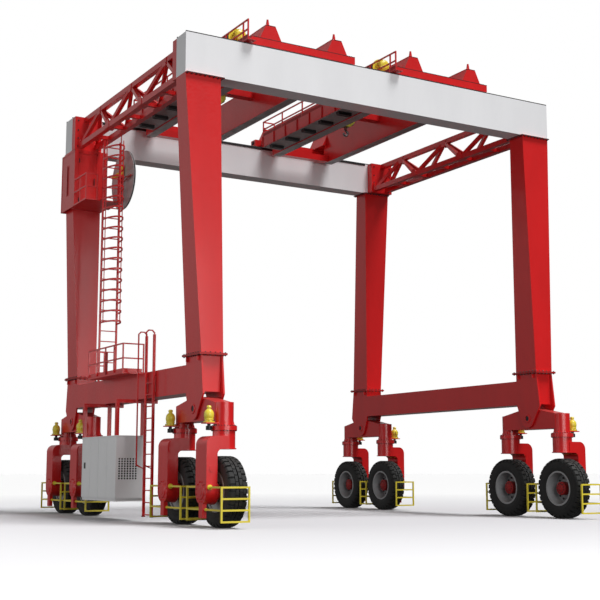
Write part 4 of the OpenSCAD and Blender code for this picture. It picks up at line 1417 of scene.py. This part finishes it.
@dataclass
class Studio:
    """A pale floor with painted shade near the middle, soft light from the front, above and the
    left, and the camera.
    """

    place: tuple = (-16.980, -29.117, 1.257)
    tilt: float = 98.384
    turn: float = -30.36
    lens: float = 69.70
    floor_size: float = 400.0
    sky_top: float = 0.2
    sky_mid: float = 0.42
    sky_low: float = 0.09
    sky_way: tuple = (-0.5, 0.86, 0.0)
    sky_dim: float = 0.22
    sun: float = 3.0
    sun_soft: float = 22.0
    sun_way: tuple = (-0.25, 0.42, -1.0)
    # Each card: its middle, its width and height, its power in watts, the way it shines.
    front_card: tuple = ((-3.0, -37.0, 9.0), (26.0, 14.0), 5200.0, (0.05, 1, -0.05))
    side_card: tuple = ((-19.0, 1.0, 4.5), (22.0, 8.0), 560.0, (1, -0.05, -0.1))
    # The floor's grey near the crane is painted shade under it, fading to the far colour between
    # the two distances.
    near_floor_shade: str = "d9d9dc"
    far_tone: str = "fdfdfd"
    floor_shade_reach: tuple = (6.0, 34.0)

    def build(self) -> None:
        """Sets the camera, the lights and the floor."""
        scene = bpy.context.scene
        scene.view_settings.view_transform = "Standard"
        data = bpy.data.cameras.new("camera")
        data.lens, data.sensor_width = self.lens, 36.0
        data.clip_start, data.clip_end = 0.5, 900.0
        camera = bpy.data.objects.new("camera", data)
        camera.location = self.place
        camera.rotation_euler = (math.radians(self.tilt), 0.0, math.radians(self.turn))
        scene.collection.objects.link(camera)
        scene.camera = camera
        scene.world = self._sky()
        light = bpy.data.lights.new("key_light", "SUN")
        light.energy, light.angle = self.sun, math.radians(self.sun_soft)
        key = bpy.data.objects.new("key_light", light)
        key.rotation_euler = Vector(self.sun_way).to_track_quat("-Z", "Y").to_euler()
        scene.collection.objects.link(key)
        self._card("front_card", *self.front_card)
        self._card("side_card", *self.side_card)
        self._floor()

    def _card(
        self, name: str, place: Point, size: Sequence[float], power: float, way: Point
    ) -> None:
        """Adds a large soft light that the camera can't see.

        Args:
            name: The light's name.
            place: Its middle.
            size: Its width and height.
            power: Its power in watts.
            way: The direction it shines.
        """
        data = bpy.data.lights.new(name, "AREA")
        data.shape, data.energy = "RECTANGLE", power
        data.size, data.size_y = size
        card = bpy.data.objects.new(name, data)
        card.location = place
        card.rotation_euler = Vector(way).to_track_quat("-Z", "Y").to_euler()
        card.visible_camera = False
        bpy.context.scene.collection.objects.link(card)

    def _sky(self) -> bpy.types.World:
        """Makes a white backdrop, brightest low at the left back, dimmer above and below.

        Returns:
            The world.
        """
        world = bpy.data.worlds.new("studio_sky")
        world.use_nodes = True
        tree = world.node_tree
        tree.nodes.clear()
        way = add_node(tree, "ShaderNodeTexCoord").outputs["Generated"]
        height = add_node(tree, "ShaderNodeSeparateXYZ", links=[(way, 0)])
        rise = add_node(
            tree,
            "ShaderNodeMapRange",
            {"From Min": -0.15, "From Max": 0.25, "To Min": self.sky_low, "To Max": self.sky_mid},
            [(height.outputs["Z"], "Value")],
        )
        fall = add_node(
            tree,
            "ShaderNodeMapRange",
            {
                "From Min": 0.3,
                "From Max": 0.8,
                "To Min": 0.0,
                "To Max": self.sky_top - self.sky_mid,
            },
            [(height.outputs["Z"], "Value")],
        )
        fade = add_node(
            tree,
            "ShaderNodeMath",
            {"operation": "ADD"},
            [(rise.outputs[0], 0), (fall.outputs[0], 1)],
        )
        along = add_node(
            tree,
            "ShaderNodeVectorMath",
            {"operation": "DOT_PRODUCT", 1: self.sky_way},
            [(way, 0)],
        )
        side = add_node(
            tree,
            "ShaderNodeMapRange",
            {"From Min": -0.5, "From Max": 0.7, "To Min": self.sky_dim, "To Max": 1.0},
            [(along.outputs["Value"], "Value")],
        )
        glow = add_node(
            tree,
            "ShaderNodeMath",
            {"operation": "MULTIPLY"},
            [(fade.outputs[0], 0), (side.outputs[0], 1)],
        )
        seen = add_node(tree, "ShaderNodeLightPath").outputs["Is Camera Ray"]
        strength = add_node(
            tree,
            "ShaderNodeMix",
            {"data_type": "FLOAT", 3: 1.0},
            [(seen, 0), (glow.outputs[0], 2)],
        )
        back = add_node(
            tree,
            "ShaderNodeBackground",
            {"Color": linear("ffffff")},
            [(strength.outputs[0], "Strength")],
        )
        add_node(tree, "ShaderNodeOutputWorld", links=[(back.outputs[0], 0)])
        return world

    def _floor(self) -> None:
        """Lays the floor, a pale sheet that throws no light back up, with painted shade greying it
        near the middle.
        """
        sheet = bmesh.new()
        bmesh.ops.create_grid(sheet, x_segments=1, y_segments=1, size=self.floor_size)
        data = bpy.data.meshes.new("floor")
        sheet.to_mesh(data)
        sheet.free()
        data.transform(Matrix.Translation((0, 0, -0.002)))
        mat = bpy.data.materials.new("pale_floor")
        mat.use_nodes = True
        shader = mat.node_tree.nodes["Principled BSDF"]
        tree = mat.node_tree
        place = add_node(tree, "ShaderNodeTexCoord").outputs["Object"]
        reach = add_node(tree, "ShaderNodeVectorMath", {"operation": "LENGTH"}, [(place, 0)])
        far = add_node(
            tree,
            "ShaderNodeMapRange",
            {"From Min": self.floor_shade_reach[0], "From Max": self.floor_shade_reach[1]},
            [(reach.outputs["Value"], "Value")],
        )
        floor_shade = add_node(
            tree,
            "ShaderNodeMix",
            {"data_type": "RGBA", 6: linear(self.near_floor_shade), 7: linear(self.far_tone)},
            [(far.outputs[0], 0)],
        )
        tree.links.new(floor_shade.outputs[2], shader.inputs["Base Color"])
        shader.inputs["Roughness"].default_value = 0.9
        shader.inputs["Specular IOR Level"].default_value = 0.1
        data.materials.append(mat)
        floor = bpy.data.objects.new("floor", data)
        floor.visible_diffuse = False
        floor.visible_glossy = False
        bpy.context.scene.collection.objects.link(floor)


def main(nodes: dict[str, bpy.types.Object]) -> None:
    """Builds every sub-assembly in order.

    Args:
        nodes: The CAD nodes by name.
    """
    logging.basicConfig(level=logging.INFO, format="%(name)s: %(message)s")
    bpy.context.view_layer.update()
    Studio().build()
    paint_nodes(
        nodes,
        {
            "front_girder": WHITE,
            "back_girder": WHITE,
            "power_cabinet": POWDER,
            "steering_motors": YELLOW,
            "guards": YELLOW,
            "hoist": YELLOW,
            "tyre": RUBBER,
            "rim": RIM_GREY,
            "cable_reel": REEL_GREY,
            "": RED,
        },
    )
    Tyre().build()
    fork, bogie = Fork(), Bogie()
    for corner in CORNERS:
        bogie.build(corner)
        for wheel in WHEELS:
            fork.build(corner, wheel)
    Portal().build()
    for side in ("left", "right"):
        EndTruss().build(side)
        Trolley().build(side)
    Access().build()
    Cabinet().build()
    Reel().build()


if __name__ == "__main__":
    main(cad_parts)
